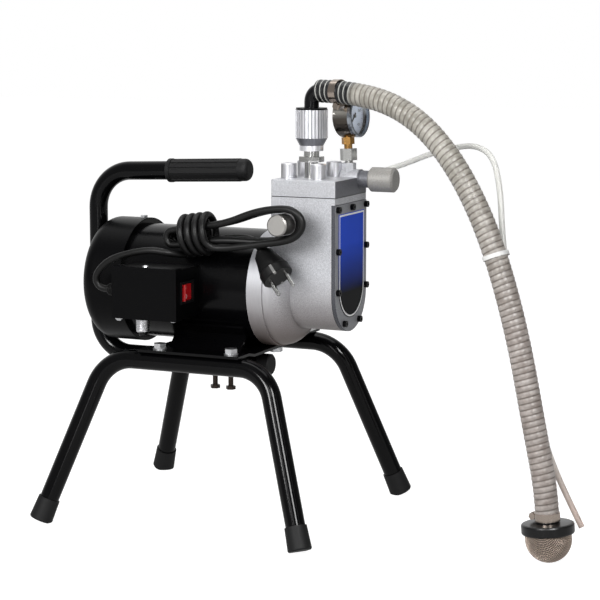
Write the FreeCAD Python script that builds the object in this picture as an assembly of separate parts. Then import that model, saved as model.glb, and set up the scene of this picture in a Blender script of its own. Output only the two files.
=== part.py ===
import FreeCAD, Part
import math
import os

# Airless paint sprayer: an electric motor and a diaphragm pump on a bent tube stand.
# Millimetres. +Z is up, +X is the pump end, and -Y is the side of the switch box.
# The model is drawn about the middle of the four feet, then moved along X so that
# the stand, motor and pump together are centred over the origin.

# Bent tube stand
TUBE_OD = 22.0
TUBE_WALL = 1.5
RAIL_HALF_SPACING = 100.0
RAIL_HEIGHT = 189.5
RAIL_TOP = RAIL_HEIGHT + TUBE_OD / 2
RAIL_CORNER_X = 101.0
FOOT_HALF_SPACING = 150.0
FOOT_X = 165.0
LEG_BEND_RADIUS = 45.0
FOOT_OD_TOP = 25.0
FOOT_OD_BOTTOM = 27.0
FOOT_LENGTH = 27.0
FOOT_FLOOR = 4.0
FOOT_RISE = 2.8

# Motor
SHELL_OD = 133.0
FLANGE_PROUD = 0.5
FLANGE_OD = SHELL_OD + 2 * FLANGE_PROUD
AXIS_HEIGHT = RAIL_TOP + FLANGE_OD / 2
SHELL_WALL = 2.5
FLANGE_REAR_X = 60.0
COWL_RIM_X = -100.0
COWL_REAR_X = -155.0
COWL_OVER_SHELL = 6.5
COWL_OD = SHELL_OD + 2 * COWL_OVER_SHELL
COWL_WALL = 1.5
COWL_ROUNDING = 18.0
COWL_SLOTS = 12
COWL_SLOT_START = 24.0
COWL_SLOT_INSET = 21.0
SHIELD_RIM_LENGTH = 13.0
SHIELD_WEB = 4.0
STATOR_LENGTH = 70.0
STATOR_DEPTH = 30.0
STATOR_BORE = SHELL_OD - 2 * STATOR_DEPTH
AIR_GAP = 0.5
WINDING_LENGTH = 16.0
SHAFT_OD = 24.0
REAR_BEARING_OD = 40.0
REAR_BEARING_BORE = 17.0
REAR_BEARING_WIDTH = 12.0
FRONT_BEARING_OD = 47.0
FRONT_BEARING_BORE = 20.0
FRONT_BEARING_WIDTH = 14.0
FAN_SHAFT_OD = 15.0
FAN_INSET = 14.0
FAN_OD = COWL_OD - 2 * FAN_INSET
FAN_WIDTH = 20.0
FAN_BLADES = 8
TIE_ROD_OD = 4.4

# Carrying handle
HANDLE_UNDER_RAILS = 24.5
HANDLE_LOW_HEIGHT = RAIL_TOP - HANDLE_UNDER_RAILS
HANDLE_OVER_AXIS = 126.3
HANDLE_TOP_HEIGHT = AXIS_HEIGHT + HANDLE_OVER_AXIS
HANDLE_REAR_X = -167.7
HANDLE_RISE_TURN = 2.2
HANDLE_BEND_RADIUS = 45.0
HANDLE_LOW_BEND_RADIUS = 41.0
HANDLE_LOW_END_X = 56.0
HANDLE_CAP_END_X = 60.5
HANDLE_CAP_OD = 25.0
HANDLE_CAP_LENGTH = 15.0
GRIP_REAR_X = -71.4
GRIP_NOSE_X = 33.9
GRIP_OD = 28.0
GRIP_NOSE_WALL = 5.0
GRIP_FLUTES = 12
GRIP_FLUTE_DEPTH = 1.1

# Cradle between the rails, and the handle clamp
SHEET = 3.0
CRADLE_REAR_X = -55.0
CRADLE_FRONT_X = 72.0
RAIL_BOLT_X = (-32.5, 57.2)
RAIL_BOLT_OD = 8.0
RAIL_BOLT_HEAD_AF = 13.0
RAIL_BOLT_HEAD = 5.3
WASHER_OD = 16.0
WASHER = 1.6
WING_REAR_X = -38.0
WING_FRONT_X = 52.0
WING_ANGLE = 45.0
WING_LIP = 13.0
WING_FOOT = 16.0
WING_SCREW_X = (-26.0, 42.0)
CLAMP_REAR_X = -33.5
CLAMP_FRONT_X = 20.4
CLAMP_DEPTH = 5.0
CLAMP_BOTTOM = HANDLE_LOW_HEIGHT - TUBE_OD / 2 - CLAMP_DEPTH
SET_BOLT_X = (-13.1, 7.3)
SET_BOLT_OD = 6.0
SET_BOLT_HEAD_AF = 10.0
SET_BOLT_HEAD = 4.0
SET_BOLT_DROP = 13.0
FLANGE_BOLT_X = 66.0

# Pump housing, cover and head
FLANGE_FRONT_X = 79.0
BELL_STEP = 1.5
BELL_OD = FLANGE_OD - 2 * BELL_STEP
BELL_ROUNDING = 24.0
HOUSING_WIDTH = 90.0
HOUSING_REAR_X = 81.0
HOUSING_FRONT_X = 155.0
HOUSING_RISE = 109.0
HEAD_SEAM_HEIGHT = AXIS_HEIGHT + HOUSING_RISE
HEAD_THICKNESS = 19.5
HEAD_FRONT_X = 159.5
PUMP_X = 110.8
CRANKCASE_WALL = 11.0
CRANKCASE_REAR_X = 83.0
CRANKCASE_RISE = 40.5
CRANKCASE_TOP = AXIS_HEIGHT + CRANKCASE_RISE
GASKET = 0.5
COVER_FRONT_X = 160.0
COVER_UNDER_SEAM = 7.5
COVER_TOP = HEAD_SEAM_HEIGHT - COVER_UNDER_SEAM
LEDGE_SETBACK = 0.5
EDGE_ROUND = 1.0
COVER_SCREW_INSET = 5.0
COVER_SCREW_RISE = 49.5
COVER_SCREW_HEAD_OD = 7.4
COVER_SCREW_HEAD = 4.2
COVER_SCREW_OD = 4.0
COVER_SCREW_LENGTH = 12.0
PLATE_WIDTH = 72.0
PLATE_THICKNESS = 0.6
PLATE_DROP = 28.8
PLATE_BOTTOM = AXIS_HEIGHT - PLATE_DROP
PLATE_UNDER_COVER = 10.8
PLATE_TOP = COVER_TOP - PLATE_UNDER_COVER
HEAD_BOLT_DX = 18.2
HEAD_BOLT_DY = 21.9
HEAD_BOLT_HEAD_OD = 17.6
HEAD_BOLT_HEAD = 17.0
HEAD_BOLT_OD = 10.0
HEAD_BOLT_DEPTH = 24.0
HEAD_BOLT_SOCKET_AF = 8.0
HEAD_BOLT_SOCKET = 6.0

# Crank and piston
CRANK_THROW = 2.0
CRANK_PIN_OD = 30.0
CRANK_RING_OD = 46.0
CRANK_RING_WIDTH = 20.0
CRANK_SEAT_OD = 17.0
SHAFT_END_X = 128.0
SEAL_WIDTH = 6.0
PISTON_OD = 20.0
PISTON_LENGTH = 42.0
PISTON_FOOT_OD = 28.0
PISTON_FOOT = 4.2
SLEEVE_OD = 30.0
SLEEVE_RISE = 48.5
SLEEVE_LENGTH = 36.0
SLEEVE_BOTTOM = AXIS_HEIGHT + SLEEVE_RISE
SLEEVE_TOP = SLEEVE_BOTTOM + SLEEVE_LENGTH
SPRING_WIRE = 2.4
OIL_CHAMBER_OD = 32.0
DIAPHRAGM_OD = 40.0
DIAPHRAGM = 1.5

# Suction side
SUCTION_STEM_OD = 17.6
SUCTION_BORE = 12.0
SUCTION_HEX_AF = 25.0
HEX_OVER_HEAD = 17.5
SUCTION_HEX_BOTTOM = HEAD_SEAM_HEIGHT + HEAD_THICKNESS + HEX_OVER_HEAD
SUCTION_HEX = 6.0
SUCTION_THREAD_OD = 18.0
SEAT_OVER_SEAM = 12.5
SUCTION_SEAT_HEIGHT = HEAD_SEAM_HEIGHT + SEAT_OVER_SEAM
NUT_BAND_OD = 27.2
NUT_OVER_HEX = 6.5
NUT_LENGTH = 48.6
NUT_BOTTOM = SUCTION_HEX_BOTTOM + SUCTION_HEX + NUT_OVER_HEX
NUT_BAND = 6.0
NUT_CONE = 8.5
NUT_OD = 37.0
NUT_TOP = NUT_BOTTOM + NUT_LENGTH
NUT_FLUTES = 30
NUT_FLUTE_DEPTH = 0.7
NUT_RING = 2.0
ELBOW_OD = 16.7
ELBOW_WALL = 2.6
ELBOW_IN_NUT = 22.6
ELBOW_FOOT_HEIGHT = NUT_TOP - ELBOW_IN_NUT
ELBOW_FLANGE_OD = 26.0
ELBOW_FLANGE = 4.0
ELBOW_RADIUS = 12.0
ARM_OVER_NUT = 18.9
ELBOW_ARM_HEIGHT = NUT_TOP + ARM_OVER_NUT
ELBOW_ARM_END = 50.0
HOSE_OD = 25.0
HOSE_RIB = 0.6
HOSE_BORE = 19.0
HOSE_RIBS = 42
HOSE_START = 11.0
HOSE_PLANE_TURN = -12.72
HOSE_CLAMP_WIDTH = 9.0
HOSE_CLAMP_BAND = 1.2
HOSE_CLAMP_INSET = 21.0
STRAINER_RADIUS = 24.0
STRAINER_DISC_OD = 57.0
STRAINER_DISC = 10.0
STRAINER_NECK_OD = 18.6

# Gauge, valve and outlet
VALVE_Y = 27.0
VALVE_OVER_SEAM = 17.0
VALVE_HEIGHT = HEAD_SEAM_HEIGHT + VALVE_OVER_SEAM
VALVE_OD = 22.0
VALVE_REAR_X = 138.0
VALVE_COLLAR_X = 161.0
VALVE_COLLAR_OD = 19.5
VALVE_FRONT_X = 172.0
VALVE_STEM_OD = 8.0
VALVE_KNOB_OD = 28.0
VALVE_KNOB_FRONT_X = 203.0
GAUGE_X = 145.3
GAUGE_PAD_AF = 14.5
GAUGE_PAD_RISE = 18.0
GAUGE_PAD_TOP = VALVE_HEIGHT + GAUGE_PAD_RISE
GAUGE_HEX_AF = 17.0
GAUGE_HEX_RISE = 2.8
GAUGE_HEX_BOTTOM = GAUGE_PAD_TOP + GAUGE_HEX_RISE
GAUGE_HEX = 13.5
BRASS_HEX_AF = 13.0
BRASS_HEX_RISE = 4.8
BRASS_HEX_BOTTOM = GAUGE_HEX_BOTTOM + GAUGE_HEX + BRASS_HEX_RISE
BRASS_HEX = 9.4
GAUGE_NECK_OD = 9.5
GAUGE_OD = 47.0
GAUGE_BEZEL = 0.8
GAUGE_LEAN = 2.7
GAUGE_RISE = 22.3
GAUGE_HEIGHT = BRASS_HEX_BOTTOM + BRASS_HEX + GAUGE_RISE
GAUGE_DEPTH = 24.0
GAUGE_BACK = 7.0
GAUGE_WALL = 1.2
GAUGE_TURN = -5.0
OUTLET_OVER_SEAM = 9.5
OUTLET_HEIGHT = HEAD_SEAM_HEIGHT + OUTLET_OVER_SEAM
OUTLET_OD = 14.0
OUTLET_LENGTH = 18.0
OUTLET_BORE = 6.0
OUTLET_THREAD_DEPTH = 12.0
OUTLET_COLLAR_AF = 19.0
OUTLET_COLLAR = 5.0
OUTLET_BALL_OD = 8.0
OUTLET_BALL_Y = 26.4
OUTLET_CHAMBER_Y = 22.0
RETURN_BARB_X = 151.0
RETURN_OVER_SEAM = 14.0
RETURN_HEIGHT = HEAD_SEAM_HEIGHT + RETURN_OVER_SEAM
RETURN_THREAD_OD = 7.0
RETURN_THREAD_DEPTH = 5.0
RETURN_NUT_AF = 10.0
RETURN_NUT = 4.0
RETURN_TAIL = 14.0
RETURN_HOSE_OD = 6.5
RETURN_HOSE_BORE = 4.0
CABLE_TIE_HEIGHT = 327.0
TIE_SLACK = 0.75

# Pressure control knob on the near face, which the mains lead hangs on
CONTROL_X = 107.0
CONTROL_OVER_AXIS = 81.0
CONTROL_HEIGHT = AXIS_HEIGHT + CONTROL_OVER_AXIS
CONTROL_OD = 24.0
CONTROL_PROUD = 42.0
CONTROL_END_Y = -HOUSING_WIDTH / 2 - CONTROL_PROUD
CONTROL_STEM_OD = 10.0

# Switch box
BOX_REAR_X = -84.0
BOX_FRONT_X = -2.0
BOX_INSET = 4.5
BOX_DEPTH = 56.0
BOX_IN_Y = BOX_INSET - SHELL_OD / 2
BOX_OUT_Y = BOX_IN_Y - BOX_DEPTH
BOX_DROP = 29.0
BOX_TALL = 59.5
BOX_BOTTOM = AXIS_HEIGHT - BOX_DROP
BOX_TOP = BOX_BOTTOM + BOX_TALL
BOX_WALL = 2.5
ROCKER_OUT = 30.0
ROCKER_Y = BOX_IN_Y - ROCKER_OUT
ROCKER_RISE = 31.0
ROCKER_HEIGHT = BOX_BOTTOM + ROCKER_RISE
ROCKER_WIDTH = 22.8
ROCKER_TALL = 18.8
ROCKER_TILT = 12.0
BEZEL_WIDTH = 31.0
BEZEL_TALL = 25.0
RESET_X = -57.0
RESET_OUT = 33.0
RESET_Y = BOX_IN_Y - RESET_OUT
RESET_OD = 14.8
RESET_DROP = 17.5
RESET_BOTTOM = BOX_BOTTOM - RESET_DROP
RESET_BUTTON_OD = 9.2
RESET_TRAVEL = 3.0
CAPACITOR_OD = 28.0
CAPACITOR_LENGTH = 50.0
GLAND_OUT = 35.0
GLAND_Y = BOX_IN_Y - GLAND_OUT
GLAND_RISE = 29.5
GLAND_HEIGHT = BOX_BOTTOM + GLAND_RISE
GLAND_LENGTH = 16.0
GLAND_OD = 20.0

# Mains lead, plug and cord
CORD_OD = 8.0
HANK_OUT = 27.0
HANK_Y = -HOUSING_WIDTH / 2 - HANK_OUT
HANK_TURN = 8.5
HANK_LAYER = 9.0
HANK_WAIST = 8.6
HANK_LOOPS = 3
HANK_INNER_RADIUS = 17.0
HANK_RADIUS_STEP = 0.75
HANK_NOSE_STEP = 6.0
HANK_END = 132.8
WRAP_START = 124.0
WRAP_END = 88.0
WRAP_RADIUS = 20.9
PLUG_BEHIND = 15.0
PLUG_INSIDE_HANK = 1.6
PLUG_Y = HANK_Y + PLUG_INSIDE_HANK
PLUG_DROP = 45.8
PLUG_BODY_OD = 36.0
PLUG_LENGTH = 34.0
PLUG_RELIEF = 7.0
PIN_OD = 4.8
PIN_LENGTH = 19.0
PIN_SPACING = 19.0

# Clearances
RUN = 0.05
GAP = 0.3
END_PLAY = 0.2

X, Y, Z = FreeCAD.Vector(1, 0, 0), FreeCAD.Vector(0, 1, 0), FreeCAD.Vector(0, 0, 1)


def at(x, y, z):
    return FreeCAD.Vector(x, y, z)


def placed(shape, origin, direction, turn=0.0):
    """Carry a shape drawn up the Z axis to an origin and a direction."""
    shape = shape.copy()
    shape.rotate(at(0, 0, 0), Z, turn)
    rotation = FreeCAD.Rotation(Z, direction)
    shape.Placement = FreeCAD.Placement(origin, rotation).multiply(shape.Placement)
    return shape


def outline(start, *steps):
    """A closed wire in the XZ plane. A step is a point, or a through point and an end."""
    edges, here = [], at(start[0], 0, start[1])
    for step in steps + (start,):
        if isinstance(step[0], tuple):
            through, end = step
            end = at(end[0], 0, end[1])
            edges.append(Part.Arc(here, at(through[0], 0, through[1]), end).toShape())
        else:
            end = at(step[0], 0, step[1])
            if here.distanceToPoint(end) < 1e-7:
                continue
            edges.append(Part.LineSegment(here, end).toShape())
        here = end
    return Part.Wire(edges)


def turned(origin, direction, start, *steps):
    """Revolve a closed outline of (radius, height) points about an axis."""
    solid = Part.Face(outline(start, *steps)).revolve(at(0, 0, 0), Z, 360)
    return placed(solid, origin, direction)


def rod(od, length, origin, direction):
    return Part.makeCylinder(od / 2, length, origin, direction)


def ring(od, bore, length, origin, direction):
    return rod(od, length, origin, direction).cut(rod(bore, length, origin, direction))


def block(low, high):
    size = at(*high) - at(*low)
    return Part.makeBox(size.x, size.y, size.z, at(*low))


def polygon(radius, sides, turn=0.0):
    corners = []
    for i in range(sides):
        angle = math.radians(turn + 360.0 * i / sides)
        corners.append(at(radius * math.cos(angle), radius * math.sin(angle), 0))
    return Part.makePolygon(corners + corners[:1])


def prism(radius, sides, length, origin, direction, turn=0.0):
    solid = Part.Face(polygon(radius, sides, turn)).extrude(Z * length)
    return placed(solid, origin, direction)


def hexagon(across_flats, length, origin, direction, turn=0.0):
    return prism(across_flats / math.sqrt(3), 6, length, origin, direction, turn)


def faceted(origin, direction, sides, *sections):
    """A body of flat facets through regular polygons, each a radius and a height."""
    rings = []
    for radius, height in sections:
        turns = [2 * math.pi * i / sides for i in range(sides)]
        rings.append([at(radius * math.cos(a), radius * math.sin(a), height) for a in turns])
    loops = [rings[0], rings[-1]]
    for low, high in zip(rings, rings[1:]):
        for i in range(sides):
            loops.append([low[i - 1], low[i], high[i], high[i - 1]])
    shell = Part.makeShell([Part.Face(Part.makePolygon(loop + loop[:1])) for loop in loops])
    shell.sewShape()
    solid = Part.makeSolid(shell)
    if solid.Volume < 0:
        solid.reverse()
    return placed(solid, origin, direction)


def eased(shape, radius, chosen):
    """Round the edges whose two ends both pass a test."""
    edges = [edge for edge in shape.Edges if all(chosen(v.Point) for v in edge.Vertexes)]
    return shape.makeFillet(radius, edges)


def fluted(od, depth, flutes, length):
    """A prism with square-cut lengthwise flutes round it, standing on the XY plane."""
    corners = []
    pitch = 360.0 / flutes
    for i in range(flutes):
        for share, radius in ((-0.34, od / 2), (0.34, od / 2), (0.42, od / 2 - depth),
                              (0.58, od / 2 - depth)):
            angle = math.radians(pitch * (i + share))
            corners.append(at(radius * math.cos(angle), radius * math.sin(angle), 0))
    return Part.Face(Part.makePolygon(corners + corners[:1])).extrude(Z * length)


def folded(points, thickness, rear_x, front_x):
    """A folded sheet. The points are its lower or outer face, as (y, z), bent along X."""
    offsets = []
    count = len(points)
    for i in range(count):
        normals = []
        for a, b in ((i - 1, i), (i, i + 1)):
            if a >= 0 and b < count:
                dy, dz = points[b][0] - points[a][0], points[b][1] - points[a][1]
                size = math.hypot(dy, dz)
                normals.append((-dz / size, dy / size))
        ny = sum(n[0] for n in normals)
        nz = sum(n[1] for n in normals)
        scale = 2.0 * thickness / (ny * ny + nz * nz) if len(normals) == 2 else thickness
        offsets.append((points[i][0] + ny * scale, points[i][1] + nz * scale))
    corners = [at(rear_x, y, z) for y, z in list(points) + offsets[::-1]]
    return Part.Face(Part.makePolygon(corners + corners[:1])).extrude(X * (front_x - rear_x))


def bent_path(points, bends=None):
    """Straight runs joined by tangent arcs. With no bends, each arc is as large as it can be."""
    edges, here, radii = [], points[0], []
    bends = bends or [None] * (len(points) - 2)
    for before, corner, after, radius in zip(points, points[1:], points[2:], bends):
        run_in, run_out = corner - before, after - corner
        turn = run_in.getAngle(run_out)
        shorter = min(run_in.Length, run_out.Length)
        bend = radius or 0.45 * shorter / math.tan(turn / 2)
        reach = bend * math.tan(turn / 2)
        run_in.normalize()
        run_out.normalize()
        start, end = corner - run_in * reach, corner + run_out * reach
        inward = run_out - run_in
        inward.normalize()
        middle = corner + inward * (bend / math.cos(turn / 2) - bend)
        edges.append(Part.LineSegment(here, start).toShape())
        edges.append(Part.Arc(start, middle, end).toShape())
        here = end
        radii.append(bend)
    edges.append(Part.LineSegment(here, points[-1]).toShape())
    return Part.Wire(edges), radii


def swept(path, section):
    """Carry a section drawn about the Z axis along a path, from its first point."""
    first = path.OrderedEdges[0]
    start = path.OrderedVertexes[0].Point
    ahead = first.tangentAt(first.FirstParameter)
    if first.valueAt(first.FirstParameter).distanceToPoint(start) > 1e-6:
        ahead = first.tangentAt(first.LastParameter) * -1
    shell = Part.BRepOffsetAPI.MakePipeShell(path)
    shell.setTransitionMode(0)
    shell.add(placed(section, start, ahead))
    shell.build()
    shell.makeSolid()
    return shell.shape()


def round_section(od):
    return Part.Wire(Part.Circle(at(0, 0, 0), Z, od / 2).toShape())


def bent_tube(points, radii):
    path = bent_path(points, radii)[0]
    return swept(path, round_section(TUBE_OD)).cut(
        swept(path, round_section(TUBE_OD - 2 * TUBE_WALL)))


def group(shapes):
    return Part.makeCompound(shapes)


# The stand: two bent legs, each in a plane that leans out from its rail to its feet

LEG_SLANT = math.hypot(FOOT_HALF_SPACING - RAIL_HALF_SPACING, RAIL_HEIGHT)
RAIL_THREAD_DEPTH = 14.0


def leg_point(side, x, height):
    spread = FOOT_HALF_SPACING - RAIL_HALF_SPACING
    y = RAIL_HALF_SPACING + spread * (RAIL_HEIGHT - height) / RAIL_HEIGHT
    return at(x, side * y, height)


def foot_bottom(side, end):
    """Centre of a foot's lower face, and the direction that the leg rises from it."""
    low, high = leg_point(side, end * FOOT_X, 0), leg_point(side, end * RAIL_CORNER_X, RAIL_HEIGHT)
    share = FOOT_RISE / RAIL_HEIGHT
    rise = high - low
    base = low + rise * share
    rise.normalize()
    return base, rise


def leg_tube(side):
    ends = []
    for end in (-1, 1):
        base, rise = foot_bottom(side, end)
        ends.append(base + rise * FOOT_FLOOR)
    corners = [leg_point(side, end * RAIL_CORNER_X, RAIL_HEIGHT) for end in (-1, 1)]
    tube = bent_tube([ends[0], corners[0], corners[1], ends[1]], [LEG_BEND_RADIUS] * 2)
    holes = [rod(RAIL_BOLT_OD, RAIL_THREAD_DEPTH, at(x, side * RAIL_HALF_SPACING, RAIL_HEIGHT), Z)
             for x in RAIL_BOLT_X]
    return tube.cut(holes)


def rubber_feet():
    feet = []
    for side in (-1, 1):
        for end in (-1, 1):
            base, rise = foot_bottom(side, end)
            top, bottom = FOOT_OD_TOP / 2, FOOT_OD_BOTTOM / 2
            foot = turned(base, rise, (0, 0), (bottom - 1, 0), (bottom, 1.5),
                          (top, FOOT_LENGTH), (TUBE_OD / 2, FOOT_LENGTH),
                          (TUBE_OD / 2, FOOT_FLOOR), (0, FOOT_FLOOR))
            floor = block((base.x - 30, base.y - 30, -30), (base.x + 30, base.y + 30, 0))
            feet.append(foot.cut(floor))
    return group(feet)


# The carrying handle, with its rubber grip and lower end cap

GRIP_TUBE_END_X = GRIP_NOSE_X - GRIP_NOSE_WALL - 4.0


def handle_tube():
    top_run, rise_turn = GRIP_TUBE_END_X - HANDLE_REAR_X, math.radians(HANDLE_RISE_TURN)
    end_x = HANDLE_REAR_X + top_run * math.cos(rise_turn)
    rise = top_run * math.sin(rise_turn)
    points = [at(HANDLE_LOW_END_X, 0, HANDLE_LOW_HEIGHT), at(HANDLE_REAR_X, 0, HANDLE_LOW_HEIGHT),
              at(HANDLE_REAR_X, 0, HANDLE_TOP_HEIGHT), at(end_x, 0, HANDLE_TOP_HEIGHT + rise)]
    return bent_tube(points, [HANDLE_LOW_BEND_RADIUS, HANDLE_BEND_RADIUS])


def handle_grip():
    """The ribbed grip, drawn level and then tipped up with the tube's top run."""
    length = GRIP_NOSE_X - GRIP_REAR_X
    collar, nose = 6.0, 12.0
    outer = GRIP_OD / 2
    body = placed(fluted(GRIP_OD - 1.0, GRIP_FLUTE_DEPTH, GRIP_FLUTES, length - collar - nose),
                  at(GRIP_REAR_X + collar, 0, HANDLE_TOP_HEIGHT), X)
    ends = turned(at(GRIP_REAR_X, 0, HANDLE_TOP_HEIGHT), X, (0, 0), (outer - 1, 0), (outer, 1),
                  (outer, collar - 1), (outer - 1.5, collar), (0, collar))
    tip = turned(at(GRIP_NOSE_X - nose, 0, HANDLE_TOP_HEIGHT), X, (0, 0), (outer - 1, 0),
                 (outer - 1, nose - 6), ((outer - 2.8, nose - 1.8), (outer - 7, nose)), (0, nose))
    bore = rod(TUBE_OD, GRIP_TUBE_END_X - GRIP_REAR_X, at(GRIP_REAR_X, 0, HANDLE_TOP_HEIGHT), X)
    grip = body.fuse([ends, tip]).cut(bore)
    grip.rotate(at(HANDLE_REAR_X, 0, HANDLE_TOP_HEIGHT), Y, -HANDLE_RISE_TURN)
    return grip


def handle_end_cap():
    outer, seat = HANDLE_CAP_OD / 2, TUBE_OD / 2
    depth = HANDLE_CAP_END_X - HANDLE_LOW_END_X
    return turned(at(HANDLE_CAP_END_X, 0, HANDLE_LOW_HEIGHT), X * -1, (0, 0), (outer - 1.5, 0),
                  (outer, 1.5), (outer, HANDLE_CAP_LENGTH), (seat, HANDLE_CAP_LENGTH),
                  (seat, depth), (0, depth))


# The cradle: a folded plate bolted to the rails, with wings that hold the motor's shell

PAN_BOTTOM = AXIS_HEIGHT - FLANGE_OD / 2 - SHEET
SHELL_RADIUS = SHELL_OD / 2


def motor_cradle():
    edge, fold_out, fold_in = RAIL_HALF_SPACING + 12.0, RAIL_HALF_SPACING - 16.0, 70.0
    points = [(-edge, RAIL_TOP), (-fold_out, RAIL_TOP), (-fold_in, PAN_BOTTOM),
              (fold_in, PAN_BOTTOM), (fold_out, RAIL_TOP), (edge, RAIL_TOP)]
    plate = folded(points, SHEET, CRADLE_REAR_X, CRADLE_FRONT_X)
    holes = [rod(RAIL_BOLT_OD, 20, at(x, side * RAIL_HALF_SPACING, RAIL_TOP - 5), Z)
             for x in RAIL_BOLT_X for side in (-1, 1)]
    holes.append(rod(RAIL_BOLT_OD, 20, at(FLANGE_BOLT_X, 0, PAN_BOTTOM - 5), Z))
    return plate.cut(holes)


def wing(side):
    """A foot on the pan, a web that rises to the shell, and a lip screwed against it."""
    angle = math.radians(WING_ANGLE)
    reach = SHELL_RADIUS / math.cos(math.atan(WING_LIP / 2 / SHELL_RADIUS))
    out_y, out_z = math.sin(angle), -math.cos(angle)
    up_y, up_z = math.cos(angle), math.sin(angle)
    fold_y = reach * out_y
    fold_z = AXIS_HEIGHT + reach * out_z
    pan_top = PAN_BOTTOM + SHEET
    drop = fold_z - pan_top
    foot_y = fold_y + drop
    points = [(foot_y - WING_FOOT, pan_top), (foot_y, pan_top), (fold_y + SHEET, fold_z - SHEET),
              (fold_y + SHEET + WING_LIP * up_y, fold_z - SHEET + WING_LIP * up_z)]
    sheet = folded(points, SHEET, WING_REAR_X, WING_FRONT_X)
    sheet = sheet.cut(rod(SHELL_OD, WING_FRONT_X - WING_REAR_X,
                          at(WING_REAR_X, 0, AXIS_HEIGHT), X))
    return sheet if side > 0 else sheet.mirror(at(0, 0, 0), Y)


def cradle_wings():
    return group([wing(-1), wing(1)])


def rail_bolts():
    pieces = []
    for x in RAIL_BOLT_X:
        for side in (-1, 1):
            y = side * RAIL_HALF_SPACING
            seat = RAIL_TOP + SHEET
            pieces.append(ring(WASHER_OD, RAIL_BOLT_OD, WASHER, at(x, y, seat), Z))
            head = hexagon(RAIL_BOLT_HEAD_AF, RAIL_BOLT_HEAD, at(x, y, seat + WASHER), Z)
            depth = seat + WASHER - RAIL_HEIGHT - 3.0
            pieces.append(head.fuse(rod(RAIL_BOLT_OD, depth, at(x, y, seat + WASHER - depth), Z)))
    return group(pieces)


def flange_bolt():
    head = hexagon(RAIL_BOLT_HEAD_AF, RAIL_BOLT_HEAD, at(FLANGE_BOLT_X, 0, PAN_BOTTOM - RAIL_BOLT_HEAD),
                   Z, 30)
    return head.fuse(rod(RAIL_BOLT_OD, 15.0, at(FLANGE_BOLT_X, 0, PAN_BOTTOM), Z))


def handle_clamp():
    """A channel under the pan that the handle's lower run lies in."""
    inner = TUBE_OD / 2 + 0.5
    outer = inner + SHEET
    top = PAN_BOTTOM
    chamfer = 3.0
    outside = [(-outer, top), (-outer, CLAMP_BOTTOM + chamfer), (-outer + chamfer, CLAMP_BOTTOM),
               (outer - chamfer, CLAMP_BOTTOM), (outer, CLAMP_BOTTOM + chamfer), (outer, top)]
    inside = [(inner, top), (inner, CLAMP_BOTTOM + SHEET), (-inner, CLAMP_BOTTOM + SHEET),
              (-inner, top)]
    corners = [at(CLAMP_REAR_X, y, z) for y, z in outside + inside]
    strap = Part.Face(Part.makePolygon(corners + corners[:1])).extrude(X * (CLAMP_FRONT_X - CLAMP_REAR_X))
    holes = [rod(SET_BOLT_OD, 10, at(x, 0, CLAMP_BOTTOM - 3), Z) for x in SET_BOLT_X]
    return strap.cut(holes)


def clamp_saddle():
    half = TUBE_OD / 2
    saddle = block((CLAMP_REAR_X, -half, HANDLE_LOW_HEIGHT + 3), (CLAMP_FRONT_X, half, PAN_BOTTOM))
    return saddle.cut(rod(TUBE_OD, CLAMP_FRONT_X - CLAMP_REAR_X,
                          at(CLAMP_REAR_X, 0, HANDLE_LOW_HEIGHT), X))


def set_bolts():
    top = HANDLE_LOW_HEIGHT - TUBE_OD / 2
    head_top = CLAMP_BOTTOM - SET_BOLT_DROP
    pieces = []
    for x in SET_BOLT_X:
        head = hexagon(SET_BOLT_HEAD_AF, SET_BOLT_HEAD, at(x, 0, head_top - SET_BOLT_HEAD), Z, 15)
        pieces.append(head.fuse(rod(SET_BOLT_OD, top - head_top, at(x, 0, head_top), Z)))
    return group(pieces)


# The motor: shell, stator, rotor, bearings, fan and cowl about one axis along X

SHELL_BORE = SHELL_OD - 2 * SHELL_WALL
SHIELD_REAR_X = COWL_RIM_X - SHIELD_RIM_LENGTH
SHELL_REAR_X = COWL_RIM_X
COWL_BORE = COWL_OD - 2 * COWL_WALL
STATOR_CENTRE_X = (SHELL_REAR_X + FLANGE_REAR_X) / 2 - 5.0
STATOR_REAR_X = STATOR_CENTRE_X - STATOR_LENGTH / 2
STATOR_FRONT_X = STATOR_CENTRE_X + STATOR_LENGTH / 2
REAR_BEARING_X = SHIELD_REAR_X + SHIELD_WEB
FRONT_BEARING_X = FLANGE_REAR_X + 2.0
FAN_REAR_X = SHIELD_REAR_X - 10.0 - FAN_WIDTH
TIE_ROD_RADIUS = SHELL_BORE / 2 - TIE_ROD_OD / 2 - 0.2


def on_axis(x):
    return at(x, 0, AXIS_HEIGHT)


def motor_shell():
    return ring(SHELL_OD, SHELL_BORE, FLANGE_REAR_X - SHELL_REAR_X, on_axis(SHELL_REAR_X), X)


def stator_core():
    core = prism(SHELL_BORE / 2, 8, STATOR_LENGTH, on_axis(STATOR_REAR_X), X, 22.5)
    return core.cut(rod(STATOR_BORE, STATOR_LENGTH, on_axis(STATOR_REAR_X), X))


def stator_windings():
    outer, inner = SHELL_BORE / 2 - 9.0, STATOR_BORE / 2 + 4.0
    coils = []
    for x in (STATOR_REAR_X - WINDING_LENGTH, STATOR_FRONT_X):
        coil = faceted(on_axis(x), X, 16, (outer - 2, 0), (outer, 3), (outer, WINDING_LENGTH - 3),
                       (outer - 2, WINDING_LENGTH))
        coils.append(coil.cut(prism(inner, 16, WINDING_LENGTH, on_axis(x), X)))
    return group(coils)


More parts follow.
